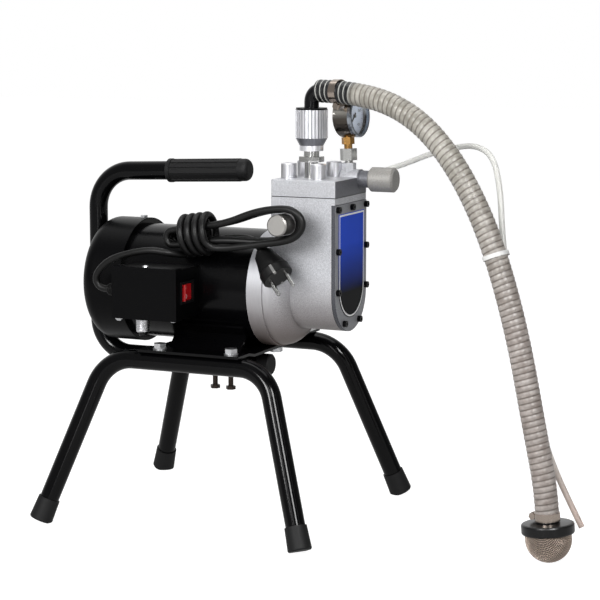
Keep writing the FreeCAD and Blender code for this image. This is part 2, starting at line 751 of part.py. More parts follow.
def tie_rods():
    """Four rods between the shell and the flats of the stator hold the motor together."""
    rods = []
    for i in range(4):
        angle = math.radians(45 + 90 * i)
        y, z = TIE_ROD_RADIUS * math.cos(angle), AXIS_HEIGHT + TIE_ROD_RADIUS * math.sin(angle)
        stud = rod(TIE_ROD_OD, FLANGE_REAR_X + 8.0 - SHIELD_REAR_X, at(SHIELD_REAR_X, y, z), X)
        nut = hexagon(TIE_ROD_OD * 1.7, 3.0, at(SHIELD_REAR_X - 3.0, y, z), X)
        rods.append(stud.fuse(nut))
    return group(rods)


def tie_rod_holes(x, length):
    holes = []
    for i in range(4):
        angle = math.radians(45 + 90 * i)
        y, z = TIE_ROD_RADIUS * math.cos(angle), AXIS_HEIGHT + TIE_ROD_RADIUS * math.sin(angle)
        holes.append(rod(TIE_ROD_OD, length, at(x, y, z), X))
    return holes


def rear_end_shield():
    """The closed rear end: a rim under the cowl, a spigot in the shell and a bearing seat."""
    rim, spigot, seat = COWL_BORE / 2, SHELL_BORE / 2, REAR_BEARING_OD / 2
    hub, web, lip = seat + 5.0, SHIELD_WEB, 5.0
    length = SHIELD_RIM_LENGTH
    shield = turned(on_axis(SHIELD_REAR_X), X, (REAR_BEARING_BORE / 2 + 2, 0), (rim, 0),
                    (rim, length), (spigot, length), (spigot, length + lip),
                    (spigot - 5, length + lip), (spigot - 5, web), (hub, web),
                    (hub, web + REAR_BEARING_WIDTH), (seat, web + REAR_BEARING_WIDTH),
                    (seat, web), (REAR_BEARING_BORE / 2 + 2, web))
    return shield.cut(tie_rod_holes(SHIELD_REAR_X, length + lip) + cowl_screw_shapes())


def motor_bearings():
    rear = ring(REAR_BEARING_OD, REAR_BEARING_BORE + 2 * RUN, REAR_BEARING_WIDTH,
                on_axis(REAR_BEARING_X), X)
    front = ring(FRONT_BEARING_OD, FRONT_BEARING_BORE + 2 * RUN, FRONT_BEARING_WIDTH,
                 on_axis(FRONT_BEARING_X), X)
    return group([rear, front])


def motor_shaft():
    """Stepped for the fan, both bearings, the rotor and the crank."""
    rear_step = REAR_BEARING_X + REAR_BEARING_WIDTH + GAP
    front_step = FRONT_BEARING_X - GAP
    crank_step = FRONT_BEARING_X + FRONT_BEARING_WIDTH + SEAL_WIDTH + 2.0
    fan_step = SHIELD_REAR_X - 4.0
    tail = FAN_REAR_X - 2.0
    radii = [FAN_SHAFT_OD / 2, REAR_BEARING_BORE / 2, SHAFT_OD / 2, FRONT_BEARING_BORE / 2,
             CRANK_SEAT_OD / 2]
    steps = [tail, fan_step, rear_step, front_step, crank_step, SHAFT_END_X]
    corners = [(0, tail)]
    for radius, start, end in zip(radii, steps, steps[1:]):
        corners += [(radius, start), (radius, end)]
    corners.append((0, SHAFT_END_X))
    return turned(on_axis(0), X, *corners)


def rotor_core():
    return ring(STATOR_BORE - 2 * AIR_GAP, SHAFT_OD, STATOR_LENGTH, on_axis(STATOR_REAR_X), X)


def cooling_fan():
    hub_od = FAN_SHAFT_OD + 12.0
    hub = rod(hub_od, FAN_WIDTH, on_axis(FAN_REAR_X), X)
    plate_x = FAN_REAR_X + FAN_WIDTH - 2.0
    pieces = [prism(FAN_OD / 2, 24, 2.0, on_axis(plate_x), X)]
    for i in range(FAN_BLADES):
        blade = block((FAN_REAR_X, -1.2, hub_od / 2 - 1), (plate_x, 1.2, FAN_OD / 2 - 1))
        blade.rotate(at(0, 0, 0), X, 360.0 * i / FAN_BLADES)
        blade.translate(at(0, 0, AXIS_HEIGHT))
        pieces.append(blade)
    return hub.fuse(pieces).cut(rod(FAN_SHAFT_OD, FAN_WIDTH, on_axis(FAN_REAR_X), X))


def fan_cowl():
    """A pressed cup with a rounded rear edge and a ring of air slots."""
    outer, inner = COWL_OD / 2, COWL_BORE / 2
    depth, bend = COWL_RIM_X - COWL_REAR_X, COWL_ROUNDING
    near = bend * (1 - math.sqrt(0.5))
    soft = bend - COWL_WALL
    cowl = turned(on_axis(COWL_REAR_X), X, (0, 0), (outer - bend, 0),
                  ((outer - near, near), (outer, bend)), (outer, depth), (inner, depth),
                  (inner, bend), (inner - 0.42 * soft, bend - 0.8 * soft),
                  (outer - bend, COWL_WALL), (0, COWL_WALL))
    slots = []
    for i in range(COWL_SLOTS):
        slot = block((COWL_REAR_X - 1, -3.0, COWL_SLOT_START),
                     (COWL_REAR_X + 2 * COWL_WALL, 3.0, outer - COWL_SLOT_INSET))
        slot.rotate(at(0, 0, 0), X, 360.0 * (i + 0.5) / COWL_SLOTS)
        slot.translate(at(0, 0, AXIS_HEIGHT))
        slots.append(slot)
    return cowl.cut(slots + cowl_screw_shapes())


def cowl_screw_shapes():
    shapes = []
    for angle in (90.0, 210.0, 330.0):
        turn = math.radians(angle)
        out = at(0, math.cos(turn), math.sin(turn))
        rim = on_axis(COWL_RIM_X - 6.0) + out * (COWL_OD / 2 - 0.6)
        shank = rod(5.0, 8.0, rim - out * 8.0, out)
        shapes.append(shank.fuse(hexagon(8.0, 3.4, rim, out)))
    return shapes


def cowl_screws():
    return group(cowl_screw_shapes())


# The pump: a cast housing that is also the motor's front end, closed by a front cover

HOUSING_RADIUS = HOUSING_WIDTH / 2
CRANKCASE_RADIUS = HOUSING_RADIUS - CRANKCASE_WALL
CRANK_TOP = AXIS_HEIGHT + CRANK_THROW + CRANK_RING_OD / 2
PISTON_BOTTOM = CRANK_TOP + GAP


def arched_plate(rear_x, front_x, half_width, bottom_centre, top):
    """A plate across X with a flat top and a half-round bottom."""
    low = Part.Arc(at(rear_x, half_width, bottom_centre), at(rear_x, 0, bottom_centre - half_width),
                   at(rear_x, -half_width, bottom_centre)).toShape()
    corners = [at(rear_x, -half_width, bottom_centre), at(rear_x, -half_width, top),
               at(rear_x, half_width, top), at(rear_x, half_width, bottom_centre)]
    wire = Part.Wire([low] + [Part.LineSegment(a, b).toShape() for a, b in zip(corners, corners[1:])])
    return Part.Face(wire).extrude(X * (front_x - rear_x))


def pump_housing():
    box = arched_plate(HOUSING_REAR_X, HOUSING_FRONT_X, HOUSING_RADIUS, AXIS_HEIGHT,
                       HEAD_SEAM_HEIGHT)
    flange = FLANGE_FRONT_X - FLANGE_REAR_X
    bell, bend = BELL_OD / 2, BELL_ROUNDING
    near = bend * (1 - math.sqrt(0.5))
    bell_end = turned(on_axis(FLANGE_REAR_X), X, (0, 0), (FLANGE_OD / 2, 0),
                      (FLANGE_OD / 2, flange), (bell, flange), (bell, flange + 1),
                      ((bell - near, flange + 1 + bend - near), (bell - bend, flange + 1 + bend)),
                      (0, flange + 1 + bend))
    ledge = block((HOUSING_FRONT_X - 5, -HOUSING_RADIUS, COVER_TOP + GAP),
                  (HEAD_FRONT_X - LEDGE_SETBACK, HOUSING_RADIUS, HEAD_SEAM_HEIGHT))
    body = bell_end.fuse([box, ledge])
    crankcase = arched_plate(CRANKCASE_REAR_X, HOUSING_FRONT_X, CRANKCASE_RADIUS, AXIS_HEIGHT,
                             CRANKCASE_TOP)
    tools = [crankcase,
             rod(FRONT_BEARING_OD, CRANKCASE_REAR_X - FRONT_BEARING_X,
                 on_axis(FRONT_BEARING_X), X),
             rod(FRONT_BEARING_OD - 8, 4, on_axis(FLANGE_REAR_X), X),
             rod(SLEEVE_OD, SLEEVE_TOP - CRANKCASE_TOP, at(PUMP_X, 0, CRANKCASE_TOP), Z),
             rod(OIL_CHAMBER_OD, HEAD_SEAM_HEIGHT - DIAPHRAGM - SLEEVE_TOP, at(PUMP_X, 0, SLEEVE_TOP), Z),
             rod(DIAPHRAGM_OD, DIAPHRAGM, at(PUMP_X, 0, HEAD_SEAM_HEIGHT - DIAPHRAGM), Z),
             rod(CONTROL_STEM_OD + 2 * RUN, 13.0, at(CONTROL_X, -HOUSING_RADIUS, CONTROL_HEIGHT), Y),
             rod(RAIL_BOLT_OD, 15.0, at(FLANGE_BOLT_X, 0, PAN_BOTTOM), Z)]
    tools += tie_rod_holes(FLANGE_REAR_X, 8.0)
    for x, y in head_bolt_places():
        tools.append(rod(HEAD_BOLT_OD, HEAD_BOLT_DEPTH, at(x, y, HEAD_SEAM_HEIGHT - HEAD_BOLT_DEPTH), Z))
    for y, z in cover_screw_places():
        tools.append(rod(COVER_SCREW_OD, COVER_SCREW_LENGTH,
                         at(COVER_FRONT_X - COVER_SCREW_LENGTH, y, z), X))
    return body.cut(tools)


def shaft_seal():
    rear = FRONT_BEARING_X + FRONT_BEARING_WIDTH
    return ring(FRONT_BEARING_OD, FRONT_BEARING_BORE + 2 * RUN, SEAL_WIDTH, on_axis(rear), X)


def crank_eccentric():
    centre = at(PUMP_X - CRANK_RING_WIDTH / 2 - 1, 0, AXIS_HEIGHT + CRANK_THROW)
    pin = rod(CRANK_PIN_OD, CRANK_RING_WIDTH + 2, centre, X)
    return pin.cut(rod(CRANK_SEAT_OD, CRANK_RING_WIDTH + 2, centre - Z * CRANK_THROW, X))


def crank_ring():
    centre = at(PUMP_X - CRANK_RING_WIDTH / 2, 0, AXIS_HEIGHT + CRANK_THROW)
    return ring(CRANK_RING_OD, CRANK_PIN_OD, CRANK_RING_WIDTH, centre, X)


def pump_piston():
    piston, foot = PISTON_OD / 2, PISTON_FOOT_OD / 2
    return turned(at(PUMP_X, 0, PISTON_BOTTOM), Z, (0, 0), (foot - 1.5, 0), (foot, 1.5),
                  (foot, PISTON_FOOT), (piston, PISTON_FOOT), (piston, PISTON_LENGTH),
                  (0, PISTON_LENGTH))


def piston_sleeve():
    return ring(SLEEVE_OD, PISTON_OD + 2 * RUN, SLEEVE_TOP - SLEEVE_BOTTOM,
                at(PUMP_X, 0, SLEEVE_BOTTOM), Z)


def piston_spring():
    """The return spring between the piston's foot and its sleeve, as its outer shape."""
    low = PISTON_BOTTOM + PISTON_FOOT
    bore = PISTON_OD + 2 * GAP
    return ring(bore + 2 * SPRING_WIRE, bore, SLEEVE_BOTTOM - GAP - low - GAP,
                at(PUMP_X, 0, low + GAP), Z)


def cover_screw_places():
    side = HOUSING_RADIUS - COVER_SCREW_INSET
    places = [(0, COVER_TOP - COVER_SCREW_INSET)]
    for y in (-side, side):
        for height in (COVER_TOP - COVER_SCREW_INSET, AXIS_HEIGHT + COVER_SCREW_RISE,
                       AXIS_HEIGHT + 3.5):
            places.append((y, height))
    for angle in (-122.0, -58.0):
        turn = math.radians(angle)
        places.append((side * math.cos(turn), AXIS_HEIGHT + side * math.sin(turn)))
    return places


def screw_holes(x, length):
    return [rod(COVER_SCREW_OD, length, at(x, y, z), X) for y, z in cover_screw_places()]


def cover_gasket():
    gasket = arched_plate(HOUSING_FRONT_X, HOUSING_FRONT_X + GASKET, HOUSING_RADIUS, AXIS_HEIGHT,
                          COVER_TOP)
    window = arched_plate(HOUSING_FRONT_X, HOUSING_FRONT_X + GASKET, CRANKCASE_RADIUS, AXIS_HEIGHT,
                          CRANKCASE_TOP)
    return gasket.cut([window] + screw_holes(HOUSING_FRONT_X, GASKET))


def front_cover():
    rear = HOUSING_FRONT_X + GASKET
    plate = arched_plate(rear, COVER_FRONT_X, HOUSING_RADIUS, AXIS_HEIGHT, COVER_TOP)
    plate = eased(plate, EDGE_ROUND, lambda point: point.x > COVER_FRONT_X - 0.01)
    return plate.cut(screw_holes(rear, COVER_FRONT_X - rear))


def cover_screws():
    screws = []
    for y, z in cover_screw_places():
        head = prism(COVER_SCREW_HEAD_OD / 2, 12, COVER_SCREW_HEAD, at(COVER_FRONT_X, y, z), X, 15)
        socket = hexagon(3.0, 2.0, at(COVER_FRONT_X + COVER_SCREW_HEAD - 2.0, y, z), X)
        shank = prism(COVER_SCREW_OD / 2, 12, COVER_SCREW_LENGTH,
                      at(COVER_FRONT_X - COVER_SCREW_LENGTH, y, z), X, 15)
        screws.append(head.cut(socket).fuse(shank))
    return group(screws)


def cover_plate():
    half = PLATE_WIDTH / 2
    return arched_plate(COVER_FRONT_X, COVER_FRONT_X + PLATE_THICKNESS, half, PLATE_BOTTOM + half,
                        PLATE_TOP)


def diaphragm():
    return rod(DIAPHRAGM_OD, DIAPHRAGM, at(PUMP_X, 0, HEAD_SEAM_HEIGHT - DIAPHRAGM), Z)


# The head: paint chamber, inlet and outlet valves, the prime valve and the gauge

HEAD_TOP = HEAD_SEAM_HEIGHT + HEAD_THICKNESS
CHAMBER = 2.5
INLET_PASSAGE_OD = 11.0


def head_bolt_places():
    return [(PUMP_X + dx, dy) for dx in (-HEAD_BOLT_DX, HEAD_BOLT_DX)
            for dy in (-HEAD_BOLT_DY, HEAD_BOLT_DY)]


def leaned(shape):
    """Tip a piece of the gauge back about the top of its pad, as its pipe thread leaves it."""
    shape.rotate(at(GAUGE_X, VALVE_Y, GAUGE_PAD_TOP), Y, -GAUGE_LEAN)
    return shape


def head_block():
    body = block((HOUSING_REAR_X, -HOUSING_RADIUS, HEAD_SEAM_HEIGHT),
                 (HEAD_FRONT_X, HOUSING_RADIUS, HEAD_TOP))
    body = eased(body, EDGE_ROUND, lambda point: True)
    valve = rod(VALVE_OD, VALVE_COLLAR_X - VALVE_REAR_X, at(VALVE_REAR_X, VALVE_Y, VALVE_HEIGHT), X)
    collar = rod(VALVE_COLLAR_OD, VALVE_FRONT_X - VALVE_COLLAR_X,
                 at(VALVE_COLLAR_X, VALVE_Y, VALVE_HEIGHT), X)
    pad = hexagon(GAUGE_PAD_AF, GAUGE_PAD_TOP - VALVE_HEIGHT, at(GAUGE_X, VALVE_Y, VALVE_HEIGHT), Z, 30)
    low = HEAD_SEAM_HEIGHT
    tools = [rod(OIL_CHAMBER_OD, CHAMBER, at(PUMP_X, 0, low), Z),
             rod(INLET_PASSAGE_OD, SUCTION_SEAT_HEIGHT - low, at(PUMP_X, 0, low), Z),
             rod(SUCTION_THREAD_OD, HEAD_TOP - SUCTION_SEAT_HEIGHT,
                 at(PUMP_X, 0, SUCTION_SEAT_HEIGHT), Z),
             rod(5.0, 30.0, at(PUMP_X, 0, OUTLET_HEIGHT), Y),
             rod(OUTLET_BALL_OD + 2 * RUN, HOUSING_RADIUS - OUTLET_CHAMBER_Y,
                 at(PUMP_X, OUTLET_CHAMBER_Y, OUTLET_HEIGHT), Y),
             rod(OUTLET_OD, OUTLET_THREAD_DEPTH,
                 at(PUMP_X, HOUSING_RADIUS - OUTLET_THREAD_DEPTH, OUTLET_HEIGHT), Y),
             rod(VALVE_STEM_OD + 2 * RUN, 20.0, at(VALVE_FRONT_X - 20.0, VALVE_Y, VALVE_HEIGHT), X),
             leaned(rod(GAUGE_NECK_OD, 7.0, at(GAUGE_X, VALVE_Y, GAUGE_PAD_TOP - 6.0), Z)),
             rod(RETURN_THREAD_OD, RETURN_THREAD_DEPTH,
                 at(RETURN_BARB_X, HOUSING_RADIUS - RETURN_THREAD_DEPTH, RETURN_HEIGHT), Y)]
    tools += [rod(HEAD_BOLT_OD, HEAD_THICKNESS, at(x, y, low), Z) for x, y in head_bolt_places()]
    return body.fuse([valve, collar, pad]).cut(tools)


def head_bolts():
    bolts = []
    for x, y in head_bolt_places():
        radius = HEAD_BOLT_HEAD_OD / 2
        depth = HEAD_BOLT_DEPTH + HEAD_THICKNESS
        bolt = turned(at(x, y, HEAD_TOP), Z, (0, -depth), (HEAD_BOLT_OD / 2, -depth),
                      (HEAD_BOLT_OD / 2, 0), (radius, 0), (radius, HEAD_BOLT_HEAD - 0.8),
                      (radius - 0.8, HEAD_BOLT_HEAD), (0, HEAD_BOLT_HEAD))
        socket = hexagon(HEAD_BOLT_SOCKET_AF, HEAD_BOLT_SOCKET,
                         at(x, y, HEAD_TOP + HEAD_BOLT_HEAD - HEAD_BOLT_SOCKET), Z)
        bolts.append(bolt.cut(socket))
    return group(bolts)


INLET_SEAT_BOTTOM = SUCTION_SEAT_HEIGHT + 0.5
INLET_SEAT = 3.0
INLET_TRAVEL = 1.5
INLET_STEM_TOP = INLET_SEAT_BOTTOM + INLET_SEAT + 6.0
NUT_RUN_BORE = SUCTION_STEM_OD + 2 * RUN


def suction_fitting():
    """Threaded into the head, with a hexagon, a stem for the union nut and a clear bore."""
    base, stem, bore = SUCTION_SEAT_HEIGHT, SUCTION_STEM_OD / 2, SUCTION_BORE / 2
    neck = stem - 1.0
    seat = ELBOW_FOOT_HEIGHT
    fitting = turned(at(PUMP_X, 0, 0), Z, (bore, base), (SUCTION_THREAD_OD / 2, base),
                     (SUCTION_THREAD_OD / 2, HEAD_TOP), (neck, HEAD_TOP),
                     (neck, SUCTION_HEX_BOTTOM), (stem, SUCTION_HEX_BOTTOM), (stem, seat), (bore, seat))
    flange = hexagon(SUCTION_HEX_AF, SUCTION_HEX, at(PUMP_X, 0, SUCTION_HEX_BOTTOM), Z, 30)
    return fitting.fuse(flange.cut(rod(SUCTION_BORE, SUCTION_HEX, at(PUMP_X, 0, SUCTION_HEX_BOTTOM), Z)))


def inlet_seat():
    return ring(SUCTION_BORE, 6.0, INLET_SEAT, at(PUMP_X, 0, INLET_SEAT_BOTTOM), Z)


def inlet_poppet():
    top, disc = INLET_SEAT_BOTTOM - GAP, 4.4
    return turned(at(PUMP_X, 0, 0), Z, (0, top - 2), (disc - 0.6, top - 2), (disc, top - 1.2),
                  (disc, top), (1.4, top), (1.4, INLET_STEM_TOP - 1.5), (3.2, INLET_STEM_TOP - 1.5),
                  (3.2, INLET_STEM_TOP), (0, INLET_STEM_TOP))


def inlet_spring():
    low = INLET_SEAT_BOTTOM + INLET_SEAT
    outside = 8.0
    spring = ring(outside, outside - 1.8, INLET_STEM_TOP - 1.5 - GAP - low,
                  at(PUMP_X, 0, low), Z)
    return spring


def outlet_ball():
    radius = OUTLET_BALL_OD / 2
    bands = [math.radians(a) for a in range(-75, 76, 30)]
    sections = [(radius * math.cos(a), radius * math.sin(a)) for a in bands]
    return faceted(at(PUMP_X, OUTLET_BALL_Y, OUTLET_HEIGHT), Y, 16, *sections)


def paint_outlet():
    """The threaded nipple that the paint hose screws on to."""
    face = at(PUMP_X, HOUSING_RADIUS, OUTLET_HEIGHT)
    pipe = ring(OUTLET_OD, OUTLET_BORE, OUTLET_THREAD_DEPTH + OUTLET_LENGTH,
                face - Y * OUTLET_THREAD_DEPTH, Y)
    collar = hexagon(OUTLET_COLLAR_AF, OUTLET_COLLAR, face, Y)
    return pipe.fuse(collar.cut(rod(OUTLET_BORE, OUTLET_COLLAR, face, Y)))


def union_nut():
    band, body = NUT_BAND_OD / 2, NUT_OD / 2
    grip_base = NUT_BOTTOM + NUT_BAND + NUT_CONE
    cavity = ELBOW_FLANGE_OD / 2 + GAP
    mouth = ELBOW_OD / 2 + GAP
    lower = turned(at(PUMP_X, 0, 0), Z, (0, NUT_BOTTOM), (band, NUT_BOTTOM),
                   (band, NUT_BOTTOM + NUT_BAND), (body - 0.3, grip_base), (0, grip_base))
    grip = placed(fluted(NUT_OD, NUT_FLUTE_DEPTH, NUT_FLUTES, NUT_TOP - NUT_RING - grip_base),
                  at(PUMP_X, 0, grip_base), Z)
    roof = ELBOW_FOOT_HEIGHT + ELBOW_FLANGE + GAP
    inside = turned(at(PUMP_X, 0, 0), Z, (0, NUT_BOTTOM), (NUT_RUN_BORE / 2, NUT_BOTTOM),
                    (NUT_RUN_BORE / 2, ELBOW_FOOT_HEIGHT - 4), (cavity, ELBOW_FOOT_HEIGHT - 4),
                    (cavity, roof), (mouth, roof), (mouth, NUT_TOP), (0, NUT_TOP))
    return lower.fuse(grip).cut(inside)


def nut_ring():
    low = NUT_TOP - NUT_RING
    return ring(NUT_OD - 1.5, ELBOW_OD + 2 * GAP, NUT_RING, at(PUMP_X, 0, low), Z)


# The suction side: elbow, ribbed hose with its clamps, and the strainer

HOSE_AHEAD = at(math.cos(math.radians(HOSE_PLANE_TURN)), math.sin(math.radians(HOSE_PLANE_TURN)), 0)
HOSE_SIDE = HOSE_AHEAD.cross(Z)
HOSE_ROUTE = ((HOSE_START, ELBOW_ARM_HEIGHT), (66.5, ELBOW_ARM_HEIGHT), (134.2, 473.6),
              (188.5, 427.3), (235.1, 352.6), (271.6, 251.7), (298.1, 135.4), (312.0, 78.0),
              (314.5, 44.0))


def in_hose_plane(reach, height):
    point = at(PUMP_X, 0, height) + HOSE_AHEAD * reach
    return point


def hose_path():
    return bent_path([in_hose_plane(reach, height) for reach, height in HOSE_ROUTE])[0]


def along(path, distance):
    """The point and the direction at a distance along a path."""
    edges = list(path.OrderedEdges)
    while len(edges) > 1 and distance > edges[0].Length:
        distance -= edges.pop(0).Length
    edge = edges[0]
    parameter = edge.getParameterByLength(min(distance, edge.Length))
    return edge.valueAt(parameter), edge.tangentAt(parameter)


def steady_circle(path, distance, radius, sideways):
    """A circle across a path, with its X axis held along one sideways direction."""
    point, ahead = along(path, distance)
    up = ahead.cross(sideways)
    frame = FreeCAD.Matrix(sideways.x, up.x, ahead.x, point.x, sideways.y, up.y, ahead.y, point.y,
                           sideways.z, up.z, ahead.z, point.z, 0, 0, 0, 1)
    return Part.Wire(Part.Circle(at(0, 0, 0), Z, radius).toShape()).transformGeometry(frame)


def suction_hose():
    """Clear hose over a wire spiral. Both ends are plain under their clamps."""
    path = hose_path()
    plain, low = HOSE_CLAMP_INSET + HOSE_CLAMP_WIDTH + 2.0, HOSE_OD / 2
    pitch = (path.Length - plain - HOSE_OD) / HOSE_RIBS
    stations = [(0, low), (plain, low)]
    for i in range(HOSE_RIBS):
        start = plain + pitch * i
        stations += [(start + 0.3 * pitch, low + HOSE_RIB), (start + 0.7 * pitch, low + HOSE_RIB),
                     (start + pitch, low)]
    stations.append((path.Length, low))
    rings = [steady_circle(path, s, radius, HOSE_SIDE) for s, radius in stations]
    outside = Part.makeLoft(rings, True, True)
    print("suction hose length %.0f mm" % path.Length)
    return outside.cut(swept(path, round_section(HOSE_BORE)))


def band_clamp(path, distance, side):
    point, ahead = along(path, distance)
    over = HOSE_OD + 2 * HOSE_CLAMP_BAND
    band = ring(over, HOSE_OD, HOSE_CLAMP_WIDTH, point, ahead)
    outward = ahead.cross(HOSE_SIDE) * side
    middle = point + ahead * (HOSE_CLAMP_WIDTH / 2)
    screw_base = middle + outward * (over / 2 + 2.4) - HOSE_SIDE * 7.0
    housing = prism(4.4, 8, 9.0, screw_base, HOSE_SIDE, 22.5)
    head = hexagon(7.0, 3.5, screw_base + HOSE_SIDE * 9.0, HOSE_SIDE)
    return band.fuse([housing.cut(rod(over, HOSE_CLAMP_WIDTH + 4, point - ahead * 2, ahead)), head])


def hose_clamps():
    path = hose_path()
    lower = path.Length - HOSE_CLAMP_WIDTH - 1.0
    return group([band_clamp(path, HOSE_CLAMP_INSET, 1), band_clamp(path, lower, 1)])


def elbow_path():
    corner = at(PUMP_X, 0, ELBOW_ARM_HEIGHT)
    return bent_path([at(PUMP_X, 0, ELBOW_FOOT_HEIGHT), corner, corner + HOSE_AHEAD * ELBOW_ARM_END],
                     [ELBOW_RADIUS])[0]


def suction_elbow():
    """A bent pipe with a flange under the union nut and barbs inside the hose."""
    pieces = [rod(ELBOW_FLANGE_OD, ELBOW_FLANGE, at(PUMP_X, 0, ELBOW_FOOT_HEIGHT), Z)]
    for reach in (ELBOW_ARM_END - 22.0, ELBOW_ARM_END - 12.0):
        pieces.append(turned(in_hose_plane(reach, ELBOW_ARM_HEIGHT), HOSE_AHEAD, (0, 0),
                             (HOSE_BORE / 2, 0), (ELBOW_OD / 2, 6), (0, 6)))
    pipe = swept(elbow_path(), round_section(ELBOW_OD)).fuse(pieces)
    return pipe.cut(swept(elbow_path(), round_section(ELBOW_OD - 2 * ELBOW_WALL)))


def strainer_axis():
    """The middle of the strainer's dome, and the direction up into the hose."""
    path = hose_path()
    end, down = along(path, path.Length)
    middle = end + down * ((end.z - STRAINER_RADIUS) / -down.z)
    return middle, down * -1, (end - middle).Length


def strainer_body():
    middle, up, hose_end = strainer_axis()
    disc, neck = STRAINER_DISC_OD / 2, STRAINER_NECK_OD / 2
    body = turned(middle, up, (neck - 3, -2), (disc - 1, -2), (disc, -1), (disc, STRAINER_DISC - 4),
                  (disc - 3, STRAINER_DISC - 2), (neck + 4, STRAINER_DISC), (neck + 4, hose_end),
                  (neck, hose_end), (neck, hose_end + 12), (neck - 3, hose_end + 12))
    return body


def strainer_mesh():
    """The mesh dome, drawn as a thin faceted shell that rests on the floor."""
    middle, up, hose_end = strainer_axis()
    shells = []
    for radius in (STRAINER_RADIUS, STRAINER_RADIUS - 1.0):
        sections = [(radius * math.cos(math.radians(a)), -radius * math.sin(math.radians(a)))
                    for a in (82, 62, 40, 20)]
        shells.append(faceted(middle, up, 20, *sections, (radius, -2.0)))
    floor = block((middle.x - 30, middle.y - 30, -30), (middle.x + 30, middle.y + 30, 0))
    return shells[0].cut([shells[1], floor])


# The gauge, its fittings, the prime valve's knob and the return hose

GAUGE_AHEAD = at(math.cos(math.radians(GAUGE_TURN)), math.sin(math.radians(GAUGE_TURN)), 0)
GAUGE_REAR = at(GAUGE_X, VALVE_Y, GAUGE_HEIGHT) - GAUGE_AHEAD * GAUGE_BACK
GAUGE_DIAL = 15.0
GAUGE_LENS = 2.0
NEEDLE_LENGTH = 16.0


def gauge_adaptor():
    neck_bottom = GAUGE_PAD_TOP - 6.0
    stem = rod(GAUGE_NECK_OD, GAUGE_HEX_BOTTOM - neck_bottom, at(GAUGE_X, VALVE_Y, neck_bottom), Z)
    nut = hexagon(GAUGE_HEX_AF, GAUGE_HEX, at(GAUGE_X, VALVE_Y, GAUGE_HEX_BOTTOM), Z, 12)
    return stem.fuse(nut).cut(rod(4.0, 30, at(GAUGE_X, VALVE_Y, neck_bottom), Z))


def gauge_socket():
    """The brass shank, with the block inside the case that carries the needle."""
    base = GAUGE_HEX_BOTTOM + GAUGE_HEX
    inside = GAUGE_HEIGHT - GAUGE_OD / 2 + 4.0
    stem = rod(GAUGE_NECK_OD, inside - base, at(GAUGE_X, VALVE_Y, base), Z)
    nut = hexagon(BRASS_HEX_AF, BRASS_HEX - 1.4, at(GAUGE_X, VALVE_Y, BRASS_HEX_BOTTOM), Z, 12)
    carrier = block((GAUGE_WALL, -6, inside - GAUGE_HEIGHT - 0.6), (GAUGE_DIAL - 1.0, 6, 6))
    carrier.rotate(at(0, 0, 0), Z, GAUGE_TURN)
    carrier.translate(GAUGE_REAR)
    spindle = rod(1.6 + 2 * RUN, 4.0, GAUGE_REAR + GAUGE_AHEAD * (GAUGE_DIAL - 5.0), GAUGE_AHEAD)
    return stem.fuse([nut, carrier]).cut(spindle)


def gauge_case():
    radius, depth, wall = GAUGE_OD / 2, GAUGE_DEPTH, GAUGE_WALL
    lip, bezel = depth - 1.5, radius + GAUGE_BEZEL
    case = turned(GAUGE_REAR, GAUGE_AHEAD, (0, 0), (radius - 1, 0), (radius, 1), (radius, depth - 5),
                  (bezel, depth - 5), (bezel, depth - 1), (bezel - 1, depth), (radius - 2.6, depth), (radius - 2.6, lip),
                  (radius - wall, lip), (radius - wall, wall), (0, wall))
    return case.cut(rod(GAUGE_NECK_OD, 10.0, at(GAUGE_X, VALVE_Y, GAUGE_HEIGHT - radius - 5.0), Z))


def gauge_dial():
    disc = rod(GAUGE_OD - 2 * GAUGE_WALL, 1.0, GAUGE_REAR + GAUGE_AHEAD * (GAUGE_DIAL - 1.0), GAUGE_AHEAD)
    return disc.cut(rod(1.6 + 2 * RUN, 1.0, GAUGE_REAR + GAUGE_AHEAD * (GAUGE_DIAL - 1.0), GAUGE_AHEAD))


def gauge_lens():
    front = GAUGE_DEPTH - 1.5 - GAUGE_LENS
    return rod(GAUGE_OD - 2 * GAUGE_WALL, GAUGE_LENS, GAUGE_REAR + GAUGE_AHEAD * front, GAUGE_AHEAD)


def gauge_needle():
    """A pointer at zero, low on the near side, with a tail and a spindle."""
    base = GAUGE_DIAL + GAP
    corners = [at(0.9, 0, 0), at(0.9, 4.5, 0), at(-0.9, 4.5, 0), at(-0.9, 0, 0),
               at(-0.25, -NEEDLE_LENGTH, 0), at(0.25, -NEEDLE_LENGTH, 0)]
    pointer = Part.Face(Part.makePolygon(corners + corners[:1])).extrude(Z * 0.8)
    pointer = pointer.fuse([rod(4.0, 1.6, at(0, 0, 0), Z), rod(1.6, 4.6, at(0, 0, -4.6), Z)])
    pointer.rotate(at(0, 0, 0), Z, -45)
    upright = FreeCAD.Rotation(Y, Z, X, "ZXY")
    pointer.Placement = FreeCAD.Placement(at(base, 0, 0), upright).multiply(pointer.Placement)
    pointer.rotate(at(0, 0, 0), Z, GAUGE_TURN)
    pointer.translate(GAUGE_REAR)
    return pointer


def prime_valve_knob():
    rear, radius = VALVE_FRONT_X + GAP, VALVE_KNOB_OD / 2
    length = VALVE_KNOB_FRONT_X - rear
    stem = VALVE_STEM_OD / 2
    return turned(at(rear, VALVE_Y, VALVE_HEIGHT), X, (0, -19.0), (stem, -19.0), (stem, 0),
                  (radius - 2.2, 0), (radius, 2.2), (radius, length - 2.2),
                  (radius - 2.2, length), (0, length))


